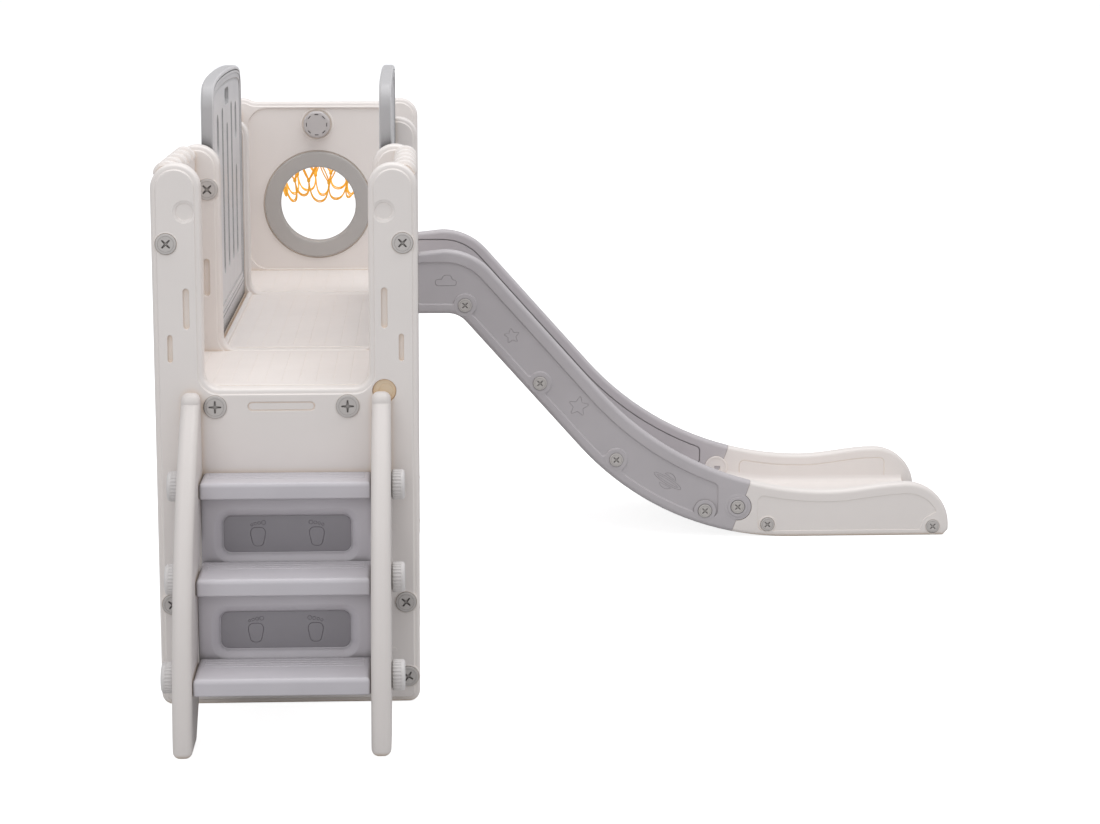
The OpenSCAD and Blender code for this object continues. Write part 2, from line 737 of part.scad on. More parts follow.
module stringer_outline() difference() {
    union() {
        intersection() {
            difference() {
                translate([arc_y, 0]) circle(arc_r, $fn = 180);
                translate([arc_y, 0]) circle(arc_r - stringer_d, $fn = 180);
            }
            translate([-ladder_reach, 0]) square([ladder_reach, ladder_top - cap_r]);
        }
        intersection() {
            translate([-cap_r, ladder_top - cap_r]) circle(cap_r);
            translate([-2 * cap_r, ladder_top - cap_r - 1]) square([2 * cap_r, cap_r + 1]);
        }
    }
    // Slant at the heel
    translate([stringer_d - ladder_reach, 0])
        polygon([[-heel - 1, -1], [heel, -1], [heel, 2 * heel]]);
}
module stringer(x) difference() {
    stand_side(x - stringer_t / 2, stringer_t) stringer_outline();
    rod_bores();
}
module ladder_side_left() color(warm_white) home() stringer(-stringer_x);
module ladder_side_right() color(warm_white) home() stringer(stringer_x);

module tread(k) difference() {
    stand_side(-tread_w / 2, tread_w) translate([(step_front(k) + step_back(k)) / 2, step_top(k) - tread_t])
        round_rect(step_back(k) - step_front(k), tread_t, tread_r);
    rod_bores();
}
module tread_top() color(cool_grey) home() tread(1);
module tread_middle() color(cool_grey) home() tread(2);
module tread_low() color(cool_grey) home() tread(3);

// Riser behind tread k, up to the tread above
module riser(k) {
    low = step_top(k) - tread_t;
    high = step_top(k - 1) - tread_t;
    shown = high - step_top(k);
    difference() {
        translate([-tread_w / 2, step_back(k), low]) cube([tread_w, riser_t, high - low]);
        stand(step_back(k) - 1, riser_field_d + 1)
            translate([0, step_top(k) + (shown - riser_field_h) / 2 - riser_field_low])
                round_rect(riser_field_w, riser_field_h, riser_field_r);
    }
}
module riser_high() color(cool_grey) home() riser(2);
module riser_low() color(cool_grey) home() riser(3);

module tie_rods() color(warm_grey) home() for (k = [1:3])
    translate([-rod_half, rod_place(k)[0], rod_place(k)[1]]) rotate([0, 90, 0])
        cylinder(r = rod_r, h = 2 * rod_half);

module ladder_nut(side, k) color(warm_grey) home()
    translate([side * nut_seat_x, rod_place(k)[0], rod_place(k)[1]]) rotate([0, side * 90, 0])
        hand_nut(nut_r, nut_len, rod_r);
module nut_left_top() ladder_nut(-1, 1);
module nut_left_middle() ladder_nut(-1, 2);
module nut_left_low() ladder_nut(-1, 3);
module nut_right_top() ladder_nut(1, 1);
module nut_right_middle() ladder_nut(1, 2);
module nut_right_low() ladder_nut(1, 3);

// Side outline of a rail over the slide's whole length
module rail_outline() {
    top = concat([[half_w, crest_z - crest_run / 9]], crest_arc(crest_x, crest_z, crest_r, 10),
        flare_arc(flare_x, end_h, flare_r, 16));
    hump = [for (i = [1:8]) [flare_x + hump_run * i / 8, end_h + hump_h * (1 - cos(22.5 * i)) / 2]];
    nose = [for (a = [10:10:80]) [hump_x + nose_r * sin(a), nose_z + nose_r * cos(a)]];
    toe = [[slide_end_x, nose_z], [slide_end_x, nose_z / 2], [slide_end_x - nose_z / 2, 0]];
    under = concat([[half_w, crest_z - crest_d]], crest_arc(under_x, crest_z - crest_d, under_r, 8),
        flare_arc(heel_x, 0, heel_r, 16));
    polygon(concat(top, hump, nose, toe, turned(under)));
}
// Side outline of the sliding bed
module bed_outline() {
    bed_end = slide_end_x - bed_short;
    top = concat([[lip_x, deck_z + lip_h], [half_w + lip_h, deck_z + lip_h]],
        crest_arc(bed_x, deck_z + 2, bed_crest_r, 10),
        flare_arc(bed_end_x, bed_end_z, bed_flare_r, 16), [[bed_end, bed_end_z]]);
    low_p = bed_p - bed_t * [slope_s, cos(slope)];
    low_r = bed_crest_r - bed_t;
    low_z = deck_z + 2 - bed_t;
    low = concat([[lip_x, deck_z], [half_w, deck_z], [half_w, low_z]],
        crest_arc(crest_start(low_p, low_z, low_r), low_z, low_r, 8),
        flare_arc(flare_end(low_p, bed_end_z - bed_t, bed_flare_r), bed_end_z - bed_t, bed_flare_r, 16),
        [[bed_end - bed_t / 2, bed_end_z - bed_t], [bed_end, bed_end_z - bed_t * 0.6]]);
    polygon(concat(top, turned(low)));
}
// Half plane before or after the leaning joint
module joint_side(after) translate([joint_x, end_h]) rotate(-joint_lean)
    translate([after ? joint_gap / 2 : -whole, -whole / 2]) square(whole);
module slide_strip(y0, w, after) stand(y0, w) intersection() {
    children();
    joint_side(after);
}

// Screws of the slide: on the slope and on the run-out they follow the rail's lower edge
boss_p = [joint_x - boss_back, boss_z];
function slope_spot(along) = under_p + along * [cos(slope), -slope_s] + slide_screw_in * [slope_s, cos(slope)];
function heel_spot(a, inset) = [heel_x - (heel_r - inset) * sin(a), heel_r - (heel_r - inset) * cos(a)];
slide_screw_spots = [[crest_x + 45, crest_z - crest_d + 18], slope_spot(254), heel_spot(41, slide_screw_in + 6),
    heel_spot(18.4, slide_screw_in + 2), boss_p];
end_screw_spots = [[joint_x + 46, slide_screw_in], [slide_end_x - 36, slide_screw_in - 8]];
module slide_screw_places(spots) for (p = spots) {
    facing_front(p[0], slide_front_y, p[1]) children();
    facing_back(p[0], slide_back_y, p[1]) children();
}
module short_screw(head_r) intersection() {
    screw(head_r);
    translate([0, 0, -rail_t + 6]) cylinder(r = head_r + 1, h = rail_t + head_h);
}
// The first length's rail keeps the whole round boss, and the second one is cut round it
module slide_rail(y0, after) difference() {
    union() {
        slide_strip(y0, rail_t, after) rail_outline();
        if (!after) stand(y0, rail_t) translate(boss_p) circle(boss_r);
    }
    if (after) stand(y0 - 1, rail_t + 2) translate(boss_p) circle(boss_r + joint_gap);
    slide_screw_places(after ? end_screw_spots : slide_screw_spots) screw_bore();
}
module slide_rail_near() color(cool_grey) home() slide_rail(slide_front_y, false);
module slide_rail_far() color(cool_grey) home() slide_rail(slide_back_y - rail_t, false);
module slide_end_rail_near() color(warm_white) home() slide_rail(slide_front_y, true);
module slide_end_rail_far() color(warm_white) home() slide_rail(slide_back_y - rail_t, true);
module slide_bed() color(cool_grey) home() difference() {
    slide_strip(slide_front_y + rail_t, slide_w - 2 * rail_t, false) bed_outline();
    // The lip on the deck lies between the posts
    for (y = [slide_y, window_y]) translate([lip_x - 1, y, deck_z - 1]) cube([half_w - lip_x + 1, panel_t, 20]);
}
module slide_end_bed() color(warm_white) home()
    slide_strip(slide_front_y + rail_t, slide_w - 2 * rail_t, true) bed_outline();

module wall_screws() color(warm_grey) home() {
    tower_screws() screw(wall_head_r);
    slide_tower_screws() screw(wall_head_r);
}
module deck_screws() color(warm_grey) home() deck_screw_places() screw(deck_head_r);
module fence_screws() color(warm_grey) home() fence_screw_places() screw(deck_head_r);
module slide_screws() color(warm_grey) home()
    slide_screw_places(slide_screw_spots) short_screw(slide_head_r);
module slide_end_screws() color(warm_grey) home()
    slide_screw_places(end_screw_spots) short_screw(slide_head_r);

front_panel();
tower_rear_panel();
tower_side_left();
tower_side_right();
tower_deck();
bridge_deck();
arch_side_left();
arch_side_right();
fence_left();
fence_right();
slide_tower_panel();
window_wall();
slide_tower_side_left();
slide_tower_side_right();
slide_tower_deck();
window_ring();
hoop_rim();
hoop_net();
hoop_stud();
hoop_nut();
ladder_side_left();
ladder_side_right();
tread_low();
tread_middle();
tread_top();
riser_low();
riser_high();
tie_rods();
nut_left_low();
nut_left_middle();
nut_left_top();
nut_right_low();
nut_right_middle();
nut_right_top();
slide_bed();
slide_rail_near();
slide_rail_far();
slide_end_bed();
slide_end_rail_near();
slide_end_rail_far();
wall_screws();
deck_screws();
fence_screws();
slide_screws();
slide_end_screws();
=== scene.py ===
# Free-standing slide play set: the looks of its towers, bridge, ladder, hoop and slide.
# Meshes are drawn in millimetres in the tower frame: X from the towers' middle towards
# the slide, Y from the front panel's face towards the hoop, Z up from the ground.
import json
import math
from collections import namedtuple
import bmesh
import bpy
import numpy as np
from mathutils import Matrix, Vector
from mathutils.geometry import delaunay_2d_cdt

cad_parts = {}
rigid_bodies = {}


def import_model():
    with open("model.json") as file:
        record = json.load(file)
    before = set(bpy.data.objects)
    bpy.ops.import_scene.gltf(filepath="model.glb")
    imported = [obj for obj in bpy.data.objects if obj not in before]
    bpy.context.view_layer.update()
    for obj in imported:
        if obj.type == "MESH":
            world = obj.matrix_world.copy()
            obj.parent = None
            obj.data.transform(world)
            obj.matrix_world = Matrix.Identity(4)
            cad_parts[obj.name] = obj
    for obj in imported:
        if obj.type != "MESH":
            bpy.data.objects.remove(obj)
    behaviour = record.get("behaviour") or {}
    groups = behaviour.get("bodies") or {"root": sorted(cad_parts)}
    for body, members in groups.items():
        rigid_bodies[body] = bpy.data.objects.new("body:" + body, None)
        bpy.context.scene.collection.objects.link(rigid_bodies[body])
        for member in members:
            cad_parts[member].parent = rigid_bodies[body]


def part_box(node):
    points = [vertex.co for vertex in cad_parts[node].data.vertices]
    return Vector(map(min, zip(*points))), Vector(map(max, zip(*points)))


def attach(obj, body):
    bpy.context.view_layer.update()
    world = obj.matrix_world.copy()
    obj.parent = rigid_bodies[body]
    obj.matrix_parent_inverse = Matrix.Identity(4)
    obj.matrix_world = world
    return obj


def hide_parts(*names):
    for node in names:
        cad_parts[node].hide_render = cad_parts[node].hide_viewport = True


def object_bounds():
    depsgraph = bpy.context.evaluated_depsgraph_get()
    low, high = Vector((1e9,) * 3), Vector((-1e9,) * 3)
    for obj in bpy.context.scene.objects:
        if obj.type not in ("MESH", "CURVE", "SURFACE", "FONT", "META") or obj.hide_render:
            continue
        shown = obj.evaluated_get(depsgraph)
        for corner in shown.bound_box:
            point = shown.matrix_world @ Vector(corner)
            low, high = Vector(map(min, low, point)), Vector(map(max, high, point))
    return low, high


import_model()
cad_low, cad_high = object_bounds()

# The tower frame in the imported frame
panel_low, panel_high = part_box("tower_rear_panel")
tower_x = (panel_low.x + panel_high.x) / 2
front_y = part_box("tower_deck")[0].y - (panel_high.y - panel_low.y)
TO_ROW = Matrix.Translation((tower_x, front_y, 0)) @ Matrix.Scale(0.001, 4)
TO_TOWER = TO_ROW.inverted()


def span(node):
    """Lowest and highest corner of a CAD node, in millimetres in the tower frame."""
    low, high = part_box(node)
    return TO_TOWER @ low, TO_TOWER @ high


# Sizes read from the frame, all but the height of the walls' grip ribs
rib_h = 3
rear_low, rear_high = span("tower_rear_panel")
half_w = rear_high.x
panel_t = rear_high.y - rear_low.y
panel_h = rear_high.z
rear_y = rear_low.y
slide_y = span("slide_tower_panel")[0].y
window_low, window_high = span("window_wall")
window_y = window_low.y
window_h = window_high.z
back_y = window_y + panel_t
deck_high = span("tower_deck")[1]
deck_z = deck_high.z
wall_in_x = deck_high.x
wall_t = span("tower_side_right")[1].x - wall_in_x - rib_h
ring_low, ring_high = span("window_ring")
ring_out = (ring_high.x - ring_low.x) / 2
window_x = (ring_low.x + ring_high.x) / 2
window_z = (ring_low.z + ring_high.z) / 2
nut_low, nut_high = span("hoop_nut")
hoop_nut_z = (nut_low.z + nut_high.z) / 2
stringer_low, stringer_high = span("ladder_side_right")
tread_half = stringer_low.x
rail_low, rail_high = span("slide_rail_near")
far_low, far_high = span("slide_rail_far")
rail_t = rail_high.y - rail_low.y

# Mouldings of the tower panels
post_w = 82
post_x = half_w - post_w / 2
top_r = post_w / 2
throat_r = 26
foot_r = 19
mark_x = half_w - 56
mark_z = panel_h - 79
mark_r = 19
socket_x = half_w - 57
socket_z = deck_z - 5
socket_r = 20

# Screws: radii of the heads, the gap round them and their places on the panels
wall_head = 17.5
deck_head = 19.5
slide_head = 15
seat_gap = 0.6
deck_screw_low, deck_screw_high = span("deck_screws")
deck_spots = [(x, deck_z - 30) for x in (deck_screw_low.x + deck_head, deck_screw_high.x - deck_head)]
fence_screw_in = 20.5
fence_spots = [(side * (wall_in_x - fence_screw_in), panel_h - 80) for side in (-1, 1)]
wall_screw_spots = [(half_w - 25, panel_h - 132), (half_w - 23, 178), (half_w - 20, 47)]


def facing(way, at):
    """Gives what places a flat drawing on a face: its third number is a depth into the face."""
    return {"front": lambda u, v, w: (u, at + w, v), "back": lambda u, v, w: (u, at - w, v),
            "left": lambda u, v, w: (at + w, u, v), "right": lambda u, v, w: (at - w, u, v),
            "up": lambda u, v, w: (u, v, at - w)}[way]


def as_drawn(u, v, w):
    """Leaves points that are given in the tower frame as they are."""
    return (u, v, w)


# Faces of the panels that carry screws
front_face = facing("front", 0)
rear_front = facing("front", rear_y)
rear_back = facing("back", rear_y + panel_t)
slide_front = facing("front", slide_y)
slide_back = facing("back", slide_y + panel_t)
window_back = facing("back", back_y)


# Outlines are counterclockwise lists of (x, y, radius) corners. Every arc is drawn a hair
# smaller than its radius, so that two that would meet keep apart.
LEAST_R = 0.3
KEEP_APART = 0.998
# Steps of an arc: how many a right angle has, times the root of its radius, and the most
ARC_STEPS = 1.7
MOST_STEPS = 40


def rounded(corners, inset=0.0):
    """Loop of points round an outline, drawn in by inset."""
    loop = []
    count = len(corners)
    for i, (x, y, radius) in enumerate(corners):
        ax, ay, _ = corners[i - 1]
        bx, by, _ = corners[(i + 1) % count]
        before = Vector((x - ax, y - ay)).normalized()
        after = Vector((bx - x, by - y)).normalized()
        side_1 = Vector((-before.y, before.x))
        side_2 = Vector((-after.y, after.x))
        corner = Vector((x, y)) + inset * (side_1 + side_2) / (1 + side_1.dot(side_2))
        turn = math.atan2(before.cross(after), before.dot(after))
        if radius <= 0 or abs(turn) < 0.01:
            loop.append((corner.x, corner.y))
            continue
        way = 1 if turn > 0 else -1
        r = max(radius - way * inset, LEAST_R) * KEEP_APART
        start = corner - before * r * math.tan(abs(turn) / 2)
        middle = start + side_1 * r * way
        first = math.atan2(start.y - middle.y, start.x - middle.x)
        steps = min(max(round(ARC_STEPS * math.sqrt(radius) * abs(turn) / (math.pi / 2)), 2), MOST_STEPS)
        for k in range(steps + 1):
            a = first + turn * k / steps
            loop.append((middle.x + r * math.cos(a), middle.y + r * math.sin(a)))
    return loop


def rect(x0, y0, x1, y1, radius):
    return [(x0, y0, radius), (x1, y0, radius), (x1, y1, radius), (x0, y1, radius)]


def disc(x, y, radius):
    return rect(x - radius, y - radius, x + radius, y + radius, radius)


def upright_slot(x, y0, y1, width):
    return rect(x - width / 2, y0, x + width / 2, y1, width / 2)


def arc(x, y, rx, ry, angles, radius=0):
    """Corners on an ellipse round (x, y) at the given angles, in radians."""
    return [(x + rx * math.cos(a), y + ry * math.sin(a), radius) for a in angles]


def degrees(*run):
    """Angles in radians for a run of whole degrees."""
    return [math.radians(a) for a in range(*run)]


def full_turn(count):
    """Evenly spaced angles round a circle, in radians."""
    return [2 * math.pi * k / count for k in range(count)]


def both_sides(right):
    """Outline from its right half, which is given from the foot round to the middle."""
    left = [(-x, y, radius) for x, y, radius in reversed(right)]
    return left[-1:] + right + left[:-1]


def turned(points, x, y, angle, size=1.0):
    """Corners drawn round (0, 0), turned, enlarged and moved to (x, y)."""
    c = math.cos(math.radians(angle)) * size
    s = math.sin(math.radians(angle)) * size
    return [(x + u * c - v * s, y + u * s + v * c, r * size) for u, v, r in points]


def inside(points, loops):
    """Which of the points lie inside an odd number of the loops."""
    hits = np.zeros(len(points), bool)
    for loop in loops:
        a = np.array(loop)
        b = np.roll(a, -1, axis=0)
        high = points[:, 1:2]
        crossed = (a[:, 1] > high) != (b[:, 1] > high)
        rise = np.where(b[:, 1] == a[:, 1], 1.0, b[:, 1] - a[:, 1])
        at = a[:, 0] + (high - a[:, 1]) * (b[:, 0] - a[:, 0]) / rise
        hits ^= (crossed & (points[:, :1] < at)).sum(axis=1) % 2 == 1
    return hits


class Shell:
    """A closed surface in the making: rings of points, bands between them and flat faces."""

    def __init__(self, place):
        self.place = place
        self.verts = []
        self.faces = []

    def ring(self, loop, depth):
        first = len(self.verts)
        self.verts += [self.place(u, v, depth) for u, v in loop]
        return list(range(first, first + len(loop)))

    def band(self, one, two):
        for i in range(len(one)):
            self.faces.append((one[i - 1], one[i], two[i], two[i - 1]))

    def rise(self, corners, profile, now=None):
        """Rings along a profile of (inset, depth) steps, from the ring now; gives the last one."""
        for inset, depth in profile:
            loop = rounded(corners, inset)
            after = self.ring(loop, depth)
            if now:
                self.band(now, after)
            now = after
        return now, loop

    def fill(self, rings, loops, depth):
        """Flat face inside the first loop and outside the others."""
        index = [i for ring in rings for i in ring]
        points = [Vector(p) for loop in loops for p in loop]
        edges = []
        first = 0
        for loop in loops:
            edges += [(first + i, first + (i + 1) % len(loop)) for i in range(len(loop))]
            first += len(loop)
        spots, _, triangles, origins, _, _ = delaunay_2d_cdt(points, edges, [], 0, 1e-6)
        known = []
        for spot, origin in zip(spots, origins):
            if origin:
                known.append(index[origin[0]])
            else:
                known += self.ring([spot], depth)
        middles = np.array([sum((spots[i] for i in t), Vector((0, 0))) / 3 for t in triangles])
        for triangle, kept in zip(triangles, inside(middles, loops)):
            if kept:
                self.faces.append(tuple(known[i] for i in triangle))


# A shape let into a face, or standing on it where its depths are negative
Relief = namedtuple("Relief", "corners profile inner through", defaults=((), False))


def cover(shell, ring, loop, depth, reliefs, sense=1):
    """Fills the face inside a ring with its reliefs; gives the rings of the holes.

    Sense is 1 on the near face and -1 on the far one, where depths run back.
    """
    rings = [ring]
    loops = [loop]
    holes = []
    for relief in reliefs:
        profile = [(inset, depth + sense * deeper) for inset, deeper in relief.profile]
        now, edge = shell.rise(relief.corners, profile[:1])
        rings.append(now)
        loops.append(edge)
        if profile[1:]:
            now, edge = shell.rise(relief.corners, profile[1:], now)
        if relief.through:
            holes.append(now)
        else:
            holes += cover(shell, now, edge, profile[-1][1], relief.inner, sense)
    shell.fill(rings, loops, depth)
    return holes


def plate(place, corners, edge, thick, front=(), back=(), back_edge=None):
    """Closed plate with an edge profile of (inset, depth) steps, reliefs and holes."""
    shell = Shell(place)
    now, loop = shell.rise(corners, edge[:1])
    holes = cover(shell, now, loop, edge[0][1], front)
    behind = [(inset, thick - depth) for inset, depth in reversed(back_edge or edge)]
    now, loop = shell.rise(corners, edge[1:] + behind, now)
    far_holes = cover(shell, now, loop, behind[-1][1], back, -1)
    for one, two in zip(holes, far_holes):
        shell.band(one, two)
    return shell


def stud(place, corners, profile, reliefs=()):
    """Closed low disc: its foot is the profile's first ring, its face the last one."""
    shell = Shell(place)
    now, _ = shell.rise(corners, profile[:1])
    shell.faces.append(tuple(now))
    now, loop = shell.rise(corners, profile[1:], now)
    cover(shell, now, loop, profile[-1][1], reliefs)
    return shell


def loft(place, sections, closed=False):
    """Surface through sections of (u, v, w) points with the same count."""
    shell = Shell(place)
    rings = []
    for section in sections:
        first = len(shell.verts)
        shell.verts += [place(*p) for p in section]
        rings.append(list(range(first, first + len(section))))
    for one, two in zip(rings, rings[1:]):
        shell.band(one, two)
    if closed:
        shell.band(rings[-1], rings[0])
    else:
        shell.faces += [tuple(rings[0]), tuple(rings[-1])]
    return shell


def prism(loop, y0, y1):
    """Block with a loop of X and Z points as its section, from y0 to y1."""
    return loft(facing("front", 0), [[(u, v, y) for u, v in loop] for y in (y0, y1)])


def lathe(place, x, z, r, profile, closed=False):
    """Round shape about (x, z), with a profile of (inset, depth) steps from the radius r."""
    sections = [[(u, v, depth) for u, v in rounded(disc(x, z, r), inset)] for inset, depth in profile]
    return loft(place, sections, closed)


def quarter(radius, steps=4):
    """Edge profile of a quarter round."""
    angles = [math.pi / 2 * k / steps for k in range(steps + 1)]
    return [(radius * (1 - math.sin(a)), radius * (1 - math.cos(a))) for a in angles]


def mouth(radius):
    """Relief profile of a hole's rounded mouth."""
    return [(-a, b) for a, b in quarter(radius, 3)]


def step(depth, soft):
    """Relief profile that goes down by depth, or up where it is negative, with soft edges."""
    up = -1 if depth < 0 else 1
    curve = quarter(soft, 3)
    return [(-a, up * b) for a, b in curve] + [(b + 0.02, depth - up * a) for a, b in curve]


def groove(corners, width, depth, inner=()):
    """A line let into a face along a loop, which leaves the face inside it as it was."""
    wall = depth * 0.8
    profile = [(-width / 2, 0), (-width / 4, wall), (0, depth), (width / 4, wall), (width / 2, 0)]
    return Relief(corners, profile, inner)


def tube(path, radius, sides=6):
    """Round tube along a path of points in the tower frame."""
    sections = []
    normal = None
    for i, point in enumerate(path):
        along = (path[min(i + 1, len(path) - 1)] - path[max(i - 1, 0)]).normalized()
        if normal is None:
            normal = along.orthogonal().normalized()
        normal = (normal - along * normal.dot(along)).normalized()
        across = along.cross(normal)
        spokes = [math.cos(a) * normal + math.sin(a) * across for a in full_turn(sides)]
        sections.append([tuple(point + radius * spoke) for spoke in spokes])
    return loft(as_drawn, sections)


def mesh_of(name, shells, sharp=50):
    """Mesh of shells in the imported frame, with outward normals, smooth but for its sharp edges."""
    verts = []
    faces = []
    for shell in shells:
        first = len(verts)
        verts += shell.verts
        faces += [tuple(first + i for i in face) for face in shell.faces]
    mesh = bpy.data.meshes.new(name)
    mesh.from_pydata(verts, [], faces)
    mesh.transform(TO_ROW)
    soften(mesh, sharp)
    return mesh


def soften(mesh, sharp=50):
    """Turns a mesh's normals outwards, shades it smooth and marks its sharp edges."""
    work = bmesh.new()
    work.from_mesh(mesh)
    bmesh.ops.dissolve_degenerate(work, dist=1e-7, edges=work.edges)
    bmesh.ops.recalc_face_normals(work, faces=work.faces)
    for edge in work.edges:
        edge.smooth = not edge.is_manifold or edge.calc_face_angle(0) < math.radians(sharp)
    for face in work.faces:
        face.smooth = True
    work.to_mesh(mesh)
    work.free()


def placed(name, data):
    """Object with the given data, linked into the scene."""
    made = bpy.data.objects.new(name, data)
    bpy.context.collection.objects.link(made)
    return made


def piece(name, shells, node, finish, body="frame", sharp=50):
    """Makes one object of shells, which rides on a body and stands for a CAD node."""
    slot, coat = finish
    made = placed(name, mesh_of(name, shells, sharp))
    made.data.materials.append(coat)
    shade = made.modifiers.new("shade", "WEIGHTED_NORMAL")
    shade.keep_sharp = True
    shade.weight = 60
    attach(made, body)
    if node:
        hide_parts(node)
    return made


def side_board(name, node, side, corners, edge, finish, reliefs=()):
    """Upright board on the left (-1) or right (1), as thick as its node, alike on both faces."""
    low, high = span(node)
    place = facing("left", low.x) if side < 0 else facing("right", high.x)
    piece(name, [plate(place, corners, edge, high.x - low.x, reliefs, reliefs)], node, finish)


def carve(made, cutters):
    """Cuts closed shells out of a piece for good; its shading modifier stays."""
    for cutter in cutters:
        tool = placed("cutter", mesh_of("cutter", [cutter]))
        cut = made.modifiers.new("cut", "BOOLEAN")
        cut.operation = "DIFFERENCE"
        cut.solver = "EXACT"
        cut.object = tool
        made.modifiers.move(len(made.modifiers) - 1, 0)
        shade = made.modifiers[-1]
        shade.show_viewport = False
        depsgraph = bpy.context.evaluated_depsgraph_get()
        result = bpy.data.meshes.new_from_object(made.evaluated_get(depsgraph))
        made.modifiers.remove(cut)
        shade.show_viewport = True
        made.data = result
        bpy.data.objects.remove(tool)
    soften(made.data)


# Materials: moulded plastics with a fine grain, a slight mottle, soft wear in their roughness and painted
# shade in their recesses
def shader_node(tree, kind, inputs, output, **settings):
    """Adds a shader node, sets or links its inputs and gives one of its outputs."""
    made = tree.nodes.new("ShaderNode" + kind)
    for name, value in settings.items():
        setattr(made, name, value)
    for name, value in inputs.items():
        if isinstance(value, bpy.types.NodeSocket):
            tree.links.new(value, made.inputs[name])
        else:
            made.inputs[name].default_value = value
    return made.outputs[output]


def noise(tree, vector, scale, detail):
    return shader_node(tree, "TexNoise", {"Vector": vector, "Scale": scale, "Detail": detail}, "Fac")


def ramp(tree, value, low, high, to_low=0, to_high=1):
    """A value from low to high, stretched to another range."""
    inputs = {"Value": value, "From Min": low, "From Max": high, "To Min": to_low, "To Max": to_high}
    return shader_node(tree, "MapRange", inputs, "Result")


def mixed(tree, one, two, factor):
    return shader_node(tree, "Mix", {"A": one, "B": two, "Factor": factor}, "Result", data_type="RGBA")


def bump(tree, height, strength, distance, **below):
    inputs = {"Height": height, "Strength": strength, "Distance": distance, **below}
    return shader_node(tree, "Bump", inputs, "Normal")


def shaded(colour, shade):
    """Opaque colour, multiplied by one number or by one for each channel."""
    return (*np.minimum(np.multiply(colour, shade), 1), 1)


def shade_narrow_sides(tree, flat_colour, side_shade_colour):
    """Paints shade on a flat board's narrow sides and openings, which don't face along X, with a darker
    colour.
    """
    normal = shader_node(tree, "TexCoord", {}, "Normal")
    across = shader_node(tree, "SeparateXYZ", {"Vector": normal}, "X")
    facing_x = shader_node(tree, "Math", {0: across}, "Value", operation="ABSOLUTE")
    return mixed(tree, side_shade_colour, flat_colour, ramp(tree, facing_x, 0.45, 0.97))


def plastic(slot, name, colour, rough, shade, mottle=0.03, grain=0.25, scuff=(30, 30, 30), reach=0.014,
            closed=0.15, clear=0.8, side_shade=1.0):
    """Plastic with mottle, streaks and grain, and painted shade that darkens it in recesses narrower than
    reach.

    It goes with the name of its slot. Closed and clear say how open a recess is where the painted shade is
    full and where it ends. Below 1, the last argument paints shade on narrow sides that don't face along X.
    """
    coat = bpy.data.materials.new(name)
    coat.use_nodes = True
    tree = coat.node_tree
    shader = tree.nodes["Principled BSDF"].inputs
    where = shader_node(tree, "TexCoord", {}, "Object")
    stretched = shader_node(tree, "Mapping", {"Vector": where, "Scale": scuff}, "Vector")
    patches = ramp(tree, noise(tree, where, 7, 3), 0.35, 0.65)
    base = mixed(tree, shaded(colour, 1 - mottle), shaded(colour, 1 + mottle), patches)
    # Painted shade: narrow sides that don't face along X take a darker colour
    if side_shade < 1:
        base = shade_narrow_sides(tree, base, shaded(colour, side_shade))
    # Painted shade: the colour goes over to the shade colour where a recess is enclosed within reach
    open_part = shader_node(tree, "AmbientOcclusion", {"Distance": reach}, "AO", samples=6)
    with_painted_shade = mixed(tree, shaded(colour, shade), base, ramp(tree, open_part, closed, clear))
    tree.links.new(with_painted_shade, shader["Base Color"])
    streaks = ramp(tree, noise(tree, stretched, 1.0, 5), 0.3, 0.7, rough - 0.06, rough + 0.06)
    tree.links.new(streaks, shader["Roughness"])
    waves = bump(tree, noise(tree, where, 22, 2), 0.12, 0.002)
    grained = bump(tree, noise(tree, where, 900, 2), grain, 0.0003, Normal=waves)
    tree.links.new(grained, shader["Normal"])
    shader["IOR"].default_value = 1.48
    return slot, coat


# Painted shade colours of the recesses, and the coats of the slots
DEEP_SHADE = (0.34, 0.33, 0.32)
TAN_SHADE = (1.0, 0.89, 0.76)
BLACK_SHADE = (0.1, 0.1, 0.1)
white = plastic("panel_white", "moulded_white", (0.84, 0.79, 0.76), 0.42, TAN_SHADE, mottle=0.012)
# The ladder's white is a darker copy of the panels' white: painted shade that evens out the brighter light
# on the ladder
ladder_shaded_white = plastic("panel_white", "ladder_white_painted_shade", (0.73, 0.685, 0.66), 0.42, TAN_SHADE, mottle=0.012)
# Tan for the plug in the socket: painted warm shade of the socket's inside
socket_painted_shade = plastic("panel_white", "tan_painted_shade", (0.80, 0.65, 0.47), 0.5, TAN_SHADE)
slide_grey = plastic("slide_grey", "moulded_cool_grey", (0.53, 0.50, 0.515), 0.40, DEEP_SHADE)
tread_grey = plastic("slide_grey", "moulded_step_grey", (0.585, 0.56, 0.59), 0.40, DEEP_SHADE)
# Darker grey for the floors of the risers' sunk fields: painted shade of the recesses
riser_floor_painted_shade = plastic("slide_grey", "grey_painted_shade", (0.30, 0.285, 0.305), 0.42, DEEP_SHADE)
ring_grey = plastic("slide_grey", "moulded_ring_grey", (0.46, 0.44, 0.425), 0.40, DEEP_SHADE)
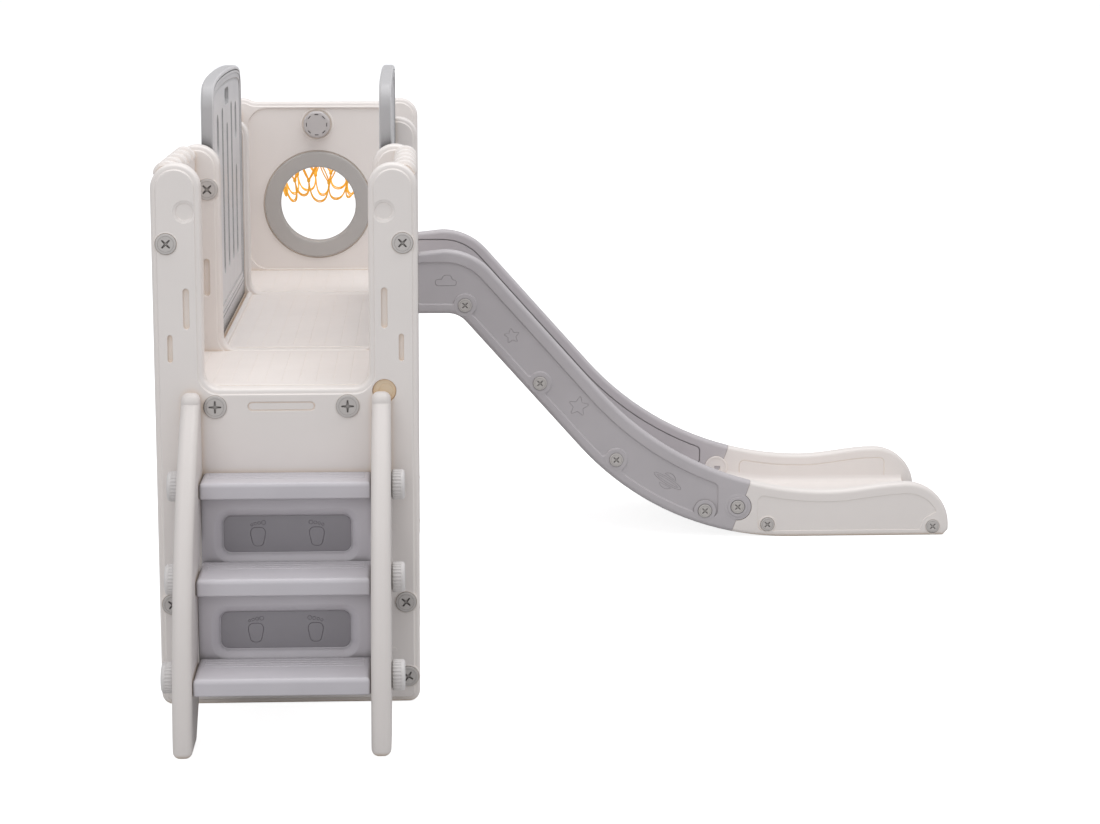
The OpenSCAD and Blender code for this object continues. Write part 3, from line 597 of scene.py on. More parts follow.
# The fence's black recess colour and its darker narrow sides are painted shade
fence_grey = plastic("fence_grey", "moulded_light_grey", (0.75, 0.735, 0.745), 0.38, BLACK_SHADE,
                     reach=0.06, closed=0.55, clear=0.87, side_shade=0.64)
screw_grey = plastic("screw_grey", "moulded_warm_grey", (0.57, 0.54, 0.52), 0.38, (0.19, 0.18, 0.17),
                     grain=0.15, closed=0.42, clear=0.9)
nut_grey = plastic("screw_grey", "moulded_pale_grey", (0.71, 0.687, 0.68), 0.38, (0.42, 0.41, 0.40),
                   grain=0.15)
cap_grey = plastic("screw_grey", "moulded_mid_grey", (0.56, 0.53, 0.525), 0.38, (0.2, 0.19, 0.18),
                   grain=0.15)
hoop_orange = plastic("hoop_plastic", "moulded_orange", (0.88, 0.33, 0.035), 0.40, (0.6, 0.5, 0.4))
cord_orange = plastic("net_cord", "braided_orange", (1.0, 0.53, 0.07), 0.75, (0.9, 0.8, 0.7), mottle=0.1,
                      grain=0.6, scuff=(700, 700, 260))
# The thin cords glow a little: painted light that brightens them where the wall shades them
cord_painted_glow = cord_orange[1].node_tree.nodes["Principled BSDF"].inputs
cord_painted_glow["Emission Color"].default_value = (1.0, 0.42, 0.03, 1)
cord_painted_glow["Emission Strength"].default_value = 0.3


# Screws and their collars
def cross(size, arm):
    """Corners of a plus sign whose arms taper outwards."""
    root = arm * 1.12
    tip = arm * 0.65
    outline = []
    for k in range(4):
        for u, v in ((size, -tip), (size, tip), (root, root)):
            for _ in range(k):
                u, v = -v, u
            outline.append((u, v, tip * 0.6))
    return outline


def screw_head(place, x, z, r, angle, proud=3.2):
    """Round head with a cross recess, standing proud of the face at depth 0."""
    side = [(0.4, 1.5), (0, 1.0), (0, 1.3 - proud), (0.4, 0.5 - proud), (1.3, 0.1 - proud), (2.6, -proud)]
    deep = proud - 0.3
    walls = [(-0.7, 0), (-0.25, 0.2), (0, 0.8), (0.15, deep - 0.3), (0.3, deep)]
    recess = Relief(turned(cross(r * 0.53, r * 0.085), x, z, angle), walls)
    return stud(place, disc(x, z, r), side, [groove(disc(x, z, r * 0.76), 0.9, 0.35, [recess])])


def collar(place, x, z, r, seat_r, proud=0.8, root=4.0):
    """Low round boss with a sunk seat round a screw's head."""
    side = [(0, root), (0, 1.0), (0.25, 0.1), (0.9, -proud * 0.6), (2.2, -proud)]
    return stud(place, disc(x, z, r), side, [Relief(disc(x, z, seat_r), step(1.4, 0.5))])


def wall_collars(place, open_right=False):
    """Collars of the wall screws, without the right one at the top where it is left open."""
    spots = [(-x, z) for x, z in wall_screw_spots] + wall_screw_spots[int(open_right):]
    return [collar(place, x, z, wall_head + 3, wall_head + seat_gap) for x, z in spots]


def large_collars(place, spots):
    """Collars of the larger screws, which hold the decks and the fences."""
    return [collar(place, x, z, deck_head + 2.5, deck_head + seat_gap, 0.5) for x, z in spots]


# Tower panels
PANEL_EDGE = [(11, 0), (10.2, 0.2), (9.4, 0.9), (9.0, 2.1), (8.5, 2.8), (7.5, 3.05), (5.2, 3.2), (3.4, 3.8),
              (1.9, 4.9), (0.8, 6.6), (0.2, 8.6), (0, 11)]
throat = half_w - post_w
entry = both_sides([(half_w, 0, foot_r), (half_w, panel_h, top_r), (throat, panel_h, top_r),
                    (throat, deck_z, throat_r)])
pocket = [*mouth(1.4), (0.1, 4.6), (0.6, 5.6), (1.6, 6)]
pockets = [Relief(upright_slot(side * x, panel_h - low, panel_h - high, width), pocket) for side in (-1, 1)
           for x, low, high, width in ((mark_x, 275, 207, 10), (half_w - 28, 331, 285, 8))]

# Front panel: round dishes at the top, a bar and a socket by the deck's edge, two small nubs
dish = [(-0.7, -6), (-0.7, -0.1), (0, 0.3), (0.8, 1.2), (2.0, 1.6), (3.4, 1.8), (4.2, 2.5), (4.8, 3.6),
        (6.0, 4.2)]
bar_half = 56
bar = rect(window_x - bar_half, deck_z - 37, window_x + bar_half, deck_z - 22, 7.4)
nubs = [(half_w - 42, 309), (half_w - 44, 93)]
bar_profile = [(-1.0, 0), (-0.4, 0.4), (0, 2.6), (1.2, 2.8), (1.7, 1.8), (2.4, 1.5)]
socket_profile = [*mouth(1.5), (0.3, 10), (1.0, 11.6), (2.6, 12.2)]
socket = disc(socket_x, socket_z, socket_r)
front_reliefs = [*pockets, Relief(bar, bar_profile), Relief(socket, socket_profile),
                 *[Relief(disc(x, z, 5), step(-0.7, 0.34)) for x, z in nubs]]
shell = plate(front_face, entry, PANEL_EDGE, panel_t, front_reliefs, pockets)
front_panel = piece("front_panel_shell", [shell], "front_panel", white)
carve(front_panel, [lathe(front_face, side * mark_x, mark_z, mark_r, dish) for side in (-1, 1)])
# The tan plug in the socket paints the warm shade of its inside; a faint ring line runs on it
plug_line = groove(disc(socket_x + 3, socket_z, 12), 1.5, 0.6)
plug_edge = disc(socket_x, socket_z, socket_r - 0.4)
plug = plate(facing("front", 4.5), plug_edge, quarter(1.5), 6, [plug_line])
piece("front_panel_socket", [plug], None, socket_painted_shade)
piece("front_panel_collars", wall_collars(front_face) + large_collars(front_face, deck_spots), None, white)

# Rear panel, and the one at the slide
shells = [plate(rear_front, entry, PANEL_EDGE, panel_t, pockets, pockets), *wall_collars(rear_back),
          *large_collars(rear_front, fence_spots)]
piece("tower_rear_panel_shell", shells, "tower_rear_panel", white)
shells = [plate(slide_front, entry, PANEL_EDGE, panel_t, pockets, pockets), *wall_collars(slide_front, True),
          *large_collars(slide_back, fence_spots)]
piece("slide_tower_panel_shell", shells, "slide_tower_panel", white)

# Window wall with its sunk field, window and foot field
hump = arc(post_x, window_h - top_r, top_r, top_r, map(math.radians, (98, 106, 114, 121)))
window_outline = both_sides([(half_w, 0, foot_r), (half_w, window_h, top_r), *hump,
                             (post_x - 29, window_h - 8, 8)])
window_hole = disc(window_x, window_z, 100.3)
field_half = wall_in_x - 14
seat_edge = [(-1.8, 0), (-0.9, -0.6), (0, -0.4), (0.5, 0.6), (0.8, 1.6)]
ring_seat = Relief(disc(window_x, window_z, ring_out + 3.2), seat_edge,
                   [Relief(window_hole, [(0, 0)], through=True)])
wall_field = rect(-field_half, deck_z + 3, field_half, window_h - 22, 44)
foot_field = rect(-field_half, 70, field_half, deck_z - 42, 40)
behind = [Relief(window_hole, mouth(1.5), through=True), Relief(foot_field, step(3.5, 1.5))]
shells = [plate(facing("front", window_y), window_outline, PANEL_EDGE, panel_t,
                [Relief(wall_field, step(4, 1.6), [ring_seat])], behind),
          *wall_collars(window_back, True),
          collar(facing("front", window_y + 4), window_x, hoop_nut_z, 38, 33, 1.2, 3)]
piece("window_wall_shell", shells, "window_wall", white)

# Window ring: flange in front, sleeve through the wall
bore = ring_out - 86
sleeve = ring_out - 100
sleeve_len = back_y - ring_low.y
ring_profile = [(bore, sleeve_len - 1), (bore, 3), (bore - 0.5, 1.4), (bore - 1.6, 0.4), (bore - 3.2, 0),
                (bore - 8, 0.1), (8, 0.1), (3, 0.2), (1.2, 0.9), (0.2, 2.4), (0, 6.2), (0.8, 7), (sleeve, 7),
                (sleeve, sleeve_len - 0.6), (sleeve + 0.6, sleeve_len), (bore - 1, sleeve_len)]
ring_shell = lathe(facing("front", ring_low.y), window_x, window_z, ring_out, ring_profile, closed=True)
piece("window_ring_shell", [ring_shell], "window_ring", ring_grey)


# Side walls with round ribbed tops
def ribbed_top(x, y0, length, top_z):
    """Half-round bar along a wall's top, stepped by grip ribs."""
    ribs = 5
    rib_len = 22
    sink = 2.5
    rise = ((0, 0), (0.5, 0.2), (1.6, 0.85), (3, 1))
    stations = [(0.0, 0)]
    for i in range(ribs):
        start = rib_len / 2 + i * (length - 2 * rib_len) / (ribs - 1)
        stations += [(start + a, lift) for a, lift in rise]
        stations += [(start + rib_len - a, lift) for a, lift in reversed(rise)]
    stations.append((length, 0))
    left = x - wall_t / 2 + 1
    right = x + wall_t / 2 - 1
    sections = []
    for along, lift in stations:
        r = wall_t / 2 - sink + (rib_h + sink) * lift
        foot = [(left, top_z - 4 * lift), (left, top_z - 8), (right, top_z - 8), (right, top_z - 4 * lift)]
        bar_arc = [(u, v) for u, v, _ in arc(x, top_z, r, r, degrees(0, 181, 10))]
        sections.append([(u, y0 + along, v) for u, v in bar_arc + foot])
    return loft(as_drawn, sections)


def side_wall(node, side):
    """Wall between two panels; one that stands higher than the deck has a ribbed top."""
    low, high = span(node)
    full = high.z > deck_z
    top = high.z - rib_h - wall_t / 2 if full else high.z
    place = facing("left", -wall_in_x - wall_t) if side < 0 else facing("right", wall_in_x + wall_t)
    field_top = top - wall_t / 2 - 44 if full else high.z - 44
    panel = Relief(rect(low.y + 62, 62, high.y - 62, field_top - 18, 18), step(-1.5, 0.7))
    outer = [Relief(rect(low.y + 44, 44, high.y - 44, field_top, 30), step(4, 1.8), [panel])]
    inner = []
    if full:
        inner = [Relief(rect(low.y + 26, deck_z + 24, high.y - 26, top - 22, 18), step(2.5, 1.1))]
    shells = [plate(place, rect(low.y, 0, high.y, top, 3), quarter(3), wall_t, outer, inner)]
    if full:
        shells.append(ribbed_top(side * (wall_in_x + wall_t / 2), low.y, high.y - low.y, top))
    piece(node + "_shell", shells, node, white)


for tower in ("tower", "slide_tower"):
    side_wall(tower + "_side_left", -1)
    side_wall(tower + "_side_right", 1)


def deck(node, curb_h=0):
    """Deck with faint plank lines along the walk, and curbs beside it where they have a height."""
    low, high = span(node)
    plank = 29
    plank_x = 17
    margin = 50 if curb_h else 23
    lines = []
    for k in range(-6, 7):
        x = plank_x + plank * k
        if low.x + margin < x < high.x - margin:
            lines.append(Relief(rect(x - 1, low.y + 24, x + 1, high.y - 24, 0.95), step(0.5, 0.24)))
    curb_in = 39
    seam_in = 29.5
    for x, s in ((low.x, 1), (high.x, -1)) if curb_h else ():
        curb = rect(x + s * curb_in - 5, low.y + 10, x + s * curb_in + 5, high.y - 10, 4.8)
        seam = rect(x + s * seam_in - 2, low.y + 8, x + s * seam_in + 2, high.y - 8, 1.9)
        lines += [Relief(curb, step(-curb_h, 2)), Relief(seam, [(0, 0), (0.2, 0.5), (0.4, 5), (0.8, 6)])]
    outline = rect(low.x, low.y, high.x, high.y, 2)
    shell = plate(facing("up", high.z), outline, quarter(2.5), high.z - low.z, lines)
    piece(node + "_board", [shell], node, white)


deck("tower_deck")
deck("bridge_deck", 6)
deck("slide_tower_deck")


def arch_side(node, side):
    """Side of the crawl-through arch under the bridge."""
    low, high = span(node)
    mid = (low.y + high.y) / 2
    half = 210
    arch_top = 400
    corners = [(low.y, 0, 8), (mid - half, 0, 8), (mid - half, arch_top, half), (mid + half, arch_top, half),
               (mid + half, 0, 8), (high.y, 0, 8), (high.y, high.z, 4), (low.y, high.z, 4)]
    edge = [(15, 0), (14.2, 0.2), (13.4, 0.9), (13, 1.7), (12.2, 2.0), (6, 2.1), (3.4, 2.8), (1.6, 4.0),
            (0.4, 6.2), (0, 9)]
    side_board(node + "_panel", node, side, corners, edge, white)


arch_side("arch_side_left", -1)
arch_side("arch_side_right", 1)

# Arched fences with a rim, a sunk field and upright gaps
crown_h = 14
gap_lip = [(-5.5, 0), (-5.1, 0.3), (-4.5, 1.2), (-3.2, 3.4), (-1.4, 5.2), (-0.3, 6.4), (0, 7.4)]
fence_sunk = [(-1.2, 0), (-0.4, 0.4), (0.4, 1.8), (1.4, 2.5), (3.6, 2.5), (4.4, 2.2), (5.2, 1.6)]


def fence_corners(low, high, inset, foot):
    shoulder_r = 46
    top = high.z - crown_h - inset
    mid = (low.y + high.y) / 2
    crown = arc(mid, top, mid - low.y - shoulder_r, crown_h, degrees(9, 172, 9))
    r = max(shoulder_r - inset, 16)
    return [(low.y + inset, foot, 6), (high.y - inset, foot, 6), (high.y - inset, top, r), *crown,
            (low.y + inset, top, r)]


def fence_holes(low, high):
    """Gaps, ovals and the flat hole, right through the fence."""
    shoulder = high.z - crown_h
    foot = low.z + 110
    mid = (low.y + high.y) / 2
    pitch = 98
    gap_w = 22
    oval_w = 30
    slots = []
    for s in (-1, 1):
        slots += [(s, foot, shoulder - 62, gap_w), (2 * s, foot, shoulder - 197, gap_w),
                  (2 * s, shoulder - 136, shoulder - 68, oval_w)]
    slots.append((0, foot, shoulder - 97, gap_w))
    holes = [upright_slot(mid + k * pitch, z0, z1, width) for k, z0, z1, width in slots]
    holes.append(rect(mid - 38, shoulder - 51, mid + 38, shoulder - 29, 5.5))
    return [Relief(hole, gap_lip, through=True) for hole in holes]


def fence(node, side):
    low, high = span(node)
    field = Relief(fence_corners(low, high, 25, low.z + 52), fence_sunk, fence_holes(low, high))
    rim = Relief(fence_corners(low, high, 15, low.z + 42), step(1.2, 0.5), [field])
    face = [groove(fence_corners(low, high, 9, low.z + 34), 2.2, 1.6, [rim])]
    outline = fence_corners(low, high, 0, low.z)
    side_board(node + "_panel", node, side, outline, quarter(5), fence_grey, face)


fence("fence_left", -1)
fence("fence_right", 1)


# Ladder
def stringer_corners():
    """Outline of a ladder side: an arc in front that is upright at the foot, and a round top."""
    reach = -stringer_low.y
    top = stringer_high.z
    cap_r = 17
    depth = 124
    heel = 48
    run = reach - 2 * cap_r
    rise = top - cap_r
    arc_r = (run * run + rise * rise) / (2 * run)
    arc_y = arc_r - reach
    back_r = arc_r - depth
    end = math.asin(rise / arc_r)
    back_end = math.acos(arc_y / back_r)
    start = math.asin((heel + 2) / back_r)
    back_arc = arc(arc_y, 0, -back_r, back_r, [start + (back_end - start) * k / 9 for k in range(10)])
    front_arc = arc(arc_y, 0, -arc_r, arc_r, [end * (1 - k / 16) for k in range(16)])
    foot_y = back_arc[0][0] - back_arc[0][1]
    return [(-reach, 0, 9), (foot_y, 0, 12), *back_arc, (0, top, cap_r), (-2 * cap_r, top, cap_r),
            *front_arc]


# The ladder's sides take the darker copy of the white, painted shade for the brighter light on them
for name, side in (("ladder_side_left", -1), ("ladder_side_right", 1)):
    side_board(name + "_shell", name, side, stringer_corners(), quarter(12, 6), ladder_shaded_white)

# Treads with a soft nose and fine grip lines near the back
nose_edge = [(9, 0), (6.2, 0.35), (3.8, 1.2), (1.9, 2.8), (0.6, 5.2), (0, 8)]
for name in ("tread_low", "tread_middle", "tread_top"):
    low, high = span(name)
    lines = [Relief(rect(-tread_half + 12, y - 1.7, tread_half - 12, y + 1.7, 1.6), step(-0.9, 0.5))
             for y in (high.y - 14, high.y - 25, high.y - 36, high.y - 47)]
    shell = plate(facing("up", high.z), rect(-tread_half, low.y, tread_half, high.y, 5), nose_edge,
                  high.z - low.z, lines, back_edge=quarter(3))
    piece(name + "_board", [shell], name, tread_grey)


def footprints(x, z):
    """Pair of plain footprints, side by side, toes up."""
    sole = [(-8, -20, 7.6), (8, -20, 7.6), (12.5, 1, 9), (11.5, 12, 8), (-11.5, 12, 8), (-12.5, 1, 9)]
    toes = [(-9.6, 20.6, 3.4), (-2.2, 19.8, 2.6), (4.4, 18.6, 2.3), (10.2, 16.6, 2.0)]
    marks = []
    for side in (-1, 1):
        mid_x = x + side * 49
        marks.append(groove(turned(sole, mid_x, z, 0), 1.4, 0.9))
        marks += [groove(disc(mid_x + side * u, z + v, r), 1.1, 0.7) for u, v, r in toes]
    return marks


def riser(node, tread_node):
    """Riser above a tread, with a soft sunk field and its floor as a plate of its own, whose darker grey is
    painted shade.
    """
    low, high = span(node)
    mid = (span(tread_node)[1].z + high.z) / 2 - 14
    half_x = 109
    half_z = 34
    sunk = [(-13, 0), (-11.6, 0.25), (-9, 1.3), (-5, 3.8), (-1.5, 6.4), (0.2, 8.4), (1, 10.8), (1.8, 12.4),
            (3, 13.4), (5, 14)]
    field = Relief(rect(-half_x, mid - half_z, half_x, mid + half_z, 16), sunk)
    outline = rect(-tread_half, low.z, tread_half, high.z, 2)
    shell = plate(facing("front", low.y), outline, quarter(1.5), high.y - low.y, [field])
    piece(node + "_panel", [shell], node, tread_grey)
    gap = 2.6
    half_x -= gap
    half_z -= gap
    floor_edge = rect(-half_x, mid - half_z, half_x, mid + half_z, 13.6)
    # The floor's darker grey is painted shade of the recess
    shell = plate(facing("front", low.y + 12.8), floor_edge, quarter(1.2), 3, footprints(0, mid - 1))
    piece(node + "_field", [shell], None, riser_floor_painted_shade)


riser("riser_high", "tread_middle")
riser("riser_low", "tread_low")

# Hand nuts
FLUTES = 26
FLUTE_W = 3.7
FLUTE_D = 1.1


def fluted(radius, depth):
    """Loop of a grip with round flutes."""
    loop = []
    per = 12
    for i, a in enumerate(full_turn(FLUTES * per)):
        off = ((i + per / 2) % per - per / 2) / per * 2 * math.pi * radius / FLUTES
        cut = depth * max(0, 1 - (2 * off / FLUTE_W) ** 2) ** 0.5 if depth else 0
        loop.append(((radius - cut) * math.cos(a), (radius - cut) * math.sin(a)))
    return loop


def hand_nut(node, side):
    """Nut with a fluted grip, a smooth outer band and a dished face.

    Its profile has (inset, height above the seat, share of the flutes' depth) steps.
    """
    low, high = span(node)
    length = high.x - low.x
    radius = (high.y - low.y) / 2
    seat = high.x if side < 0 else low.x
    mid_y = (low.y + high.y) / 2
    mid_z = (low.z + high.z) / 2
    profile = [(4, 0, 0), (4, 0.9, 0), (0.8, 1.2, 0.8), (0.1, 2.0, 1), (0, 3.5, 1), (0, length - 7.5, 1),
               (0, length - 6.6, 0.3), (0, length - 6.2, 0), (0, length - 4, 0), (0.5, length - 2.6, 0),
               (1.8, length - 1.2, 0), (3.6, length - 0.3, 0), (5.2, length, 0), (8, length, 0),
               (9.2, length - 0.7, 0), (10.2, length - 1.8, 0)]
    sections = [[(u, v, w) for u, v in fluted(radius - inset, FLUTE_D * share)]
                for inset, w, share in profile]
    grip = loft(lambda u, v, w: (seat + side * w, mid_y + u, mid_z + v), sections)
    piece(node + "_grip", [grip], node, nut_grey, body=node)


for name, side in (("left", -1), ("right", 1)):
    for level in ("low", "middle", "top"):
        hand_nut(f"nut_{name}_{level}", side)

# Large hand nut above the window, with eight notches round its face
nut_r = (nut_high.x - nut_low.x) / 2
nut_x = (nut_low.x + nut_high.x) / 2
corner_angles = [math.radians(22.5 + 45 * k) for k in range(8)]
nut_outline = arc(nut_x, hoop_nut_z, nut_r, nut_r, corner_angles, 17)
nut_flat = nut_r * math.cos(math.radians(22.5))
notch = rect(nut_flat - 7.6, -4.5, nut_flat - 5.3, 4.5, 1.0)
notches = [Relief([(nut_x + x, hoop_nut_z + z, r) for x, z, r in turned(notch, 0, 0, 45 * k)],
                  [(0, 0), (0.2, 0.4), (0.3, 3), (0.5, 3.4)]) for k in range(8)]
shell = plate(facing("front", nut_low.y), nut_outline, quarter(4), nut_high.y - nut_low.y, notches)
piece("hoop_nut_grip", [shell], "hoop_nut", cap_grey, body="hoop_nut")

# Slide: its lines leave the tower over a crest, run down one steep line and flare out level.
# The rails' top line ends in a low hump and a nose, their lower line on the ground.
SLOPE = math.radians(48.3)
SIN = math.sin(SLOPE)
COS = math.cos(SLOPE)
crest_z = rail_high.z
crest_run = 55
crest_r = 136
crest_d = 138
rail_d = 114
under_r = 54
flare_r = 670
heel_r = 614
end_h = 103
hump_run = 175
hump_h = 16
nose_r = 95
crest_x = half_w + crest_run


def level_end(p, z, r):
    """Where an arc from the steep line through p is level at height z: r < 0 for a flare."""
    return p[0] + (p[1] - z + r * (1 - COS)) / math.tan(SLOPE) - r * SIN


def bend(x, z, r, n):
    """Arc that is level at (x, z): a crest from there, or a flare to there where r is negative."""
    steps = range(n + 1) if r > 0 else range(n, -1, -1)
    return [(x + r * math.sin(SLOPE * i / n), z - r * (1 - math.cos(SLOPE * i / n)), 0) for i in steps]


def tangent(p, z, r, n):
    """Crest or flare between the height z and the steep line through p."""
    return bend(level_end(p, z, r), z, r, n)


def below_slope(p, distance):
    """Point square to the steep line, below p by a distance."""
    return (p[0] - distance * SIN, p[1] - distance * COS)


slope_p = (crest_x + crest_r * SIN, crest_z - crest_r * (1 - COS))
under_p = below_slope(slope_p, rail_d)
flare_x = level_end(slope_p, end_h, -flare_r)
hump_x = flare_x + hump_run
nose_z = end_h + hump_h - nose_r
slide_end_x = hump_x + nose_r
joint_x = flare_x - 178
joint_lean = math.radians(20)
joint_up = (math.sin(joint_lean), math.cos(joint_lean))
joint_out = (math.cos(joint_lean), -math.sin(joint_lean))
joint_gap = 0.3
boss_x = joint_x - 20
boss_z = 69
boss_r = 30
slide_seat = slide_head + 0.8


def nose_arc(r, drop, angles):
    """Arc of the rails' nose, from its top down."""
    return [(hump_x + r * math.sin(a), nose_z - drop + r * math.cos(a), 0) for a in angles]


def rail_top(drop):
    """Top line of a rail, from the tower to the nose, drawn down by drop."""
    level = end_h - drop
    hump = [(flare_x + hump_run * i / 8, level + hump_h * (1 - math.cos(math.pi * i / 8)) / 2, 0)
            for i in range(1, 9)]
    crest = bend(crest_x, crest_z - drop, crest_r - drop, 12)
    return crest + bend(flare_x, level, -flare_r - drop, 20) + hump


def rail_under(lift):
    """Lower line of a rail, from the tower to the run-out, drawn up by lift."""
    point = below_slope(slope_p, rail_d - lift)
    crest = tangent(point, crest_z - crest_d + lift, under_r + lift, 10)
    return crest + tangent(point, lift, lift - heel_r, 20)


def rail_corners():
    """Outline of a whole rail, which starts inside the tower and is cut off at its side."""
    spare = 30
    toe = [(slide_end_x, nose_z, 0), (slide_end_x, nose_z / 2, 5), (slide_end_x - nose_z / 2, 0, 5)]
    top = [(half_w - spare, crest_z - (crest_run + spare) / 9, 4), *rail_top(0),
           *nose_arc(nose_r, 0, degrees(8, 90, 8)), *toe]
    return [(half_w - spare, crest_z - crest_d, 4), *rail_under(0), *reversed(top)]


def side_of_joint(x, z):
    """Distance past the leaning joint, towards the slide's end."""
    return (x - joint_x) * joint_out[0] + (z - end_h) * joint_out[1]


def beyond_joint(y0, y1, gap, after):
    """Block that takes away what lies on the other side of the leaning joint."""
    reach = 3000
    sign = -1 if after else 1
    near = (joint_x - sign * gap * joint_out[0], end_h - sign * gap * joint_out[1])
    ends = [(near[0] + t * joint_up[0], near[1] + t * joint_up[1]) for t in (-reach, reach)]
    far = [(x + sign * reach * joint_out[0], z + sign * reach * joint_out[1]) for x, z in reversed(ends)]
    return prism(ends + far, y0, y1)


def height_at(line, x):
    """Height of a line of points at a place along X."""
    xs, heights, _ = zip(*line)
    return float(np.interp(x, xs, heights))


def nearest(line, spot):
    """Place along a line that is nearest to a spot: its number of steps, and the point."""
    best = None
    for i, ((ax, az, _), (bx, bz, _)) in enumerate(zip(line, line[1:])):
        long = max((bx - ax) ** 2 + (bz - az) ** 2, 1e-9)
        t = min(max(((spot[0] - ax) * (bx - ax) + (spot[1] - az) * (bz - az)) / long, 0), 1)
        point = (ax + (bx - ax) * t, az + (bz - az) * t)
        off = math.dist(point, spot)
        if best is None or off < best[0]:
            best = (off, i + t, point)
    return best[1], best[2]


def stepped(line, spots, r):
    """Line with a round-topped step over each spot that stands above it."""
    clear = 9
    for spot in spots:
        _, (x, z) = nearest(line, spot)
        up = Vector((spot[0] - x, spot[1] - z)).normalized()
        along = Vector((up.y, -up.x))
        middle = Vector(spot)
        first, before = nearest(line, middle - along * r)
        last, after = nearest(line, middle + along * r)
        half_turn = [math.pi * k / 12 for k in range(13)]
        hump = [middle + r * (math.sin(a) * up - math.cos(a) * along) for a in half_turn]
        start = [p for p in line[:int(first) + 1] if math.dist(p[:2], before) > clear]
        end = [p for p in line[int(last) + 1:] if math.dist(p[:2], after) > clear]
        line = start + [(*before, 5), *[(p.x, p.y, 0) for p in hump], (*after, 5)] + end
    return line


def field_between(drop, lift, x0, x1, radius, spots=(), r=0):
    """Closed outline between a rail's lines, from x0 to x1, with round corners.

    Below, it steps over the spots at the distance r.
    """
    sides = []
    room = radius * 1.3 + 2
    for line in (stepped(rail_under(lift), spots, r), rail_top(drop)):
        level = [(x0 - 1, line[0][1], 0), *line, (x1 + 1, line[-1][1], 0)]
        mid = [point for point in level if x0 + room < point[0] < x1 - room]
        sides.append([(x0, height_at(level, x0), radius), *mid, (x1, height_at(level, x1), radius)])
    return sides[0] + sides[1][::-1]


def star(size):
    """Plain star with five points."""
    rays = [(size if k % 2 == 0 else size * 0.45, math.radians(90 + 36 * k)) for k in range(10)]
    return [(r * math.cos(a), r * math.sin(a), size * 0.08) for r, a in rays]


# Plain cloud on a flat base
CLOUD = [(-1.5, -0.5, 0.4), (1.5, -0.5, 0.4), (1.55, 0.25, 0.35), (0.9, 0.4, 0.1), (0.8, 1.0, 0.5),
         (-0.4, 1.05, 0.5), (-0.55, 0.45, 0.1), (-1.5, 0.4, 0.4)]


def planet(x, z, tilt=-33, ball_r=18):
    """Plain ball behind a slanted flat ring: a cap above, a cap below, the ring between."""
    parts = []
    for side in (-1, 1):
        cap = arc(0, 0, ball_r, side * ball_r, degrees(32, 149, 9))
        parts.append(groove(turned(cap if side > 0 else cap[::-1], x, z, tilt), 1.2, 0.75))
    outer, inner = [turned(arc(0, 0, rx, ry, full_turn(28)), x, z, tilt) for rx, ry in ((35, 7), (27, 3))]
    return parts + [groove(outer, 1.2, 0.75, [groove(inner, 1.0, 0.65)])]


def rail_motifs():
    """Figures engraved on a rail's face in thin lines."""
    shapes = [turned(CLOUD, 279, 570, 0, 15), turned(star(19), 421, 452, 8), turned(star(25), 566, 296, -10)]
    return [groove(shape, 1.2, 0.8) for shape in shapes] + planet(762, 128)


def slope_spot(along, inset):
    """Place beside the rail's lower edge, on its steep part."""
    return under_p[0] + along * COS + inset * SIN, under_p[1] - along * SIN + inset * COS


def heel_spot(angle, inset):
    """Place beside the rail's lower edge, on its last bend."""
    a = math.radians(angle)
    r = heel_r - inset
    return level_end(under_p, 0, -heel_r) - r * math.sin(a), heel_r - r * math.cos(a)


# Screws along the rails' lower edge: under the crest, on the steep part, on the last bend, at the end
slide_screw_spots = [(crest_x + 45, crest_z - crest_d + 18), slope_spot(254, 29), heel_spot(41, 35),
                     heel_spot(18.4, 31)]
end_screw_spots = [(joint_x + 46, 29), (slide_end_x - 36, 21)]


def end_field():
    """Field of an end rail: it follows the top line and the nose and steps round the last screw."""
    left = joint_x + 24
    screw_x, screw_z = end_screw_spots[1]
    foot = 14
    drop = 24
    around = 25
    top = [point for point in rail_top(drop) if left + 20 < point[0] < hump_x - 4]
    nose = nose_arc(nose_r - 20, 3, degrees(64, -1, -8))
    nose[0] = (*nose[0][:2], 3)
    round_screw = arc(screw_x, screw_z, -around, around, degrees(8, 72, 8))
    return [(left, foot, 14), (screw_x - around - 1, foot, 4), *round_screw, *nose, *reversed(top),
            (left, height_at(rail_top(drop), left), 14)]


def lower_rail(place, inner_place, y0, y1, near):
    """Reliefs, bosses and cutter of a white rail, with the lug that hides the joint's screw."""
    inner = field_between(drop=24, lift=44, x0=joint_x + 34, x1=hump_x + 24, radius=12)
    lug_x = boss_x - 1
    lug_z = boss_z + 7
    slit = rect(boss_x - 5, boss_z, boss_x + 9, boss_z + 10, 1)
    rim = Relief(disc(lug_x, lug_z, 22), step(1.2, 0.5),
                 [Relief(slit, [(0, 0), (0.2, 0.4), (0.4, 4.6), (1, 5)])])
    bosses = [collar(place, x, z, 19, slide_seat, 0.5) for x, z in end_screw_spots]
    lug_side = [(0, 5), (0, -1.6), (0.3, -2.4), (1.2, -2.8)]
    bosses.append(stud(inner_place, disc(lug_x, lug_z, 26), lug_side, [rim]))
    hole_y = (y0, y1 - 11) if near else (y0 + 11, y1)
    hole = prism(rounded(disc(boss_x, boss_z, boss_r + 0.6)), *hole_y)
    return [Relief(end_field(), step(1.3, 0.6))], [groove(inner, 3, 1.6)], bosses, hole


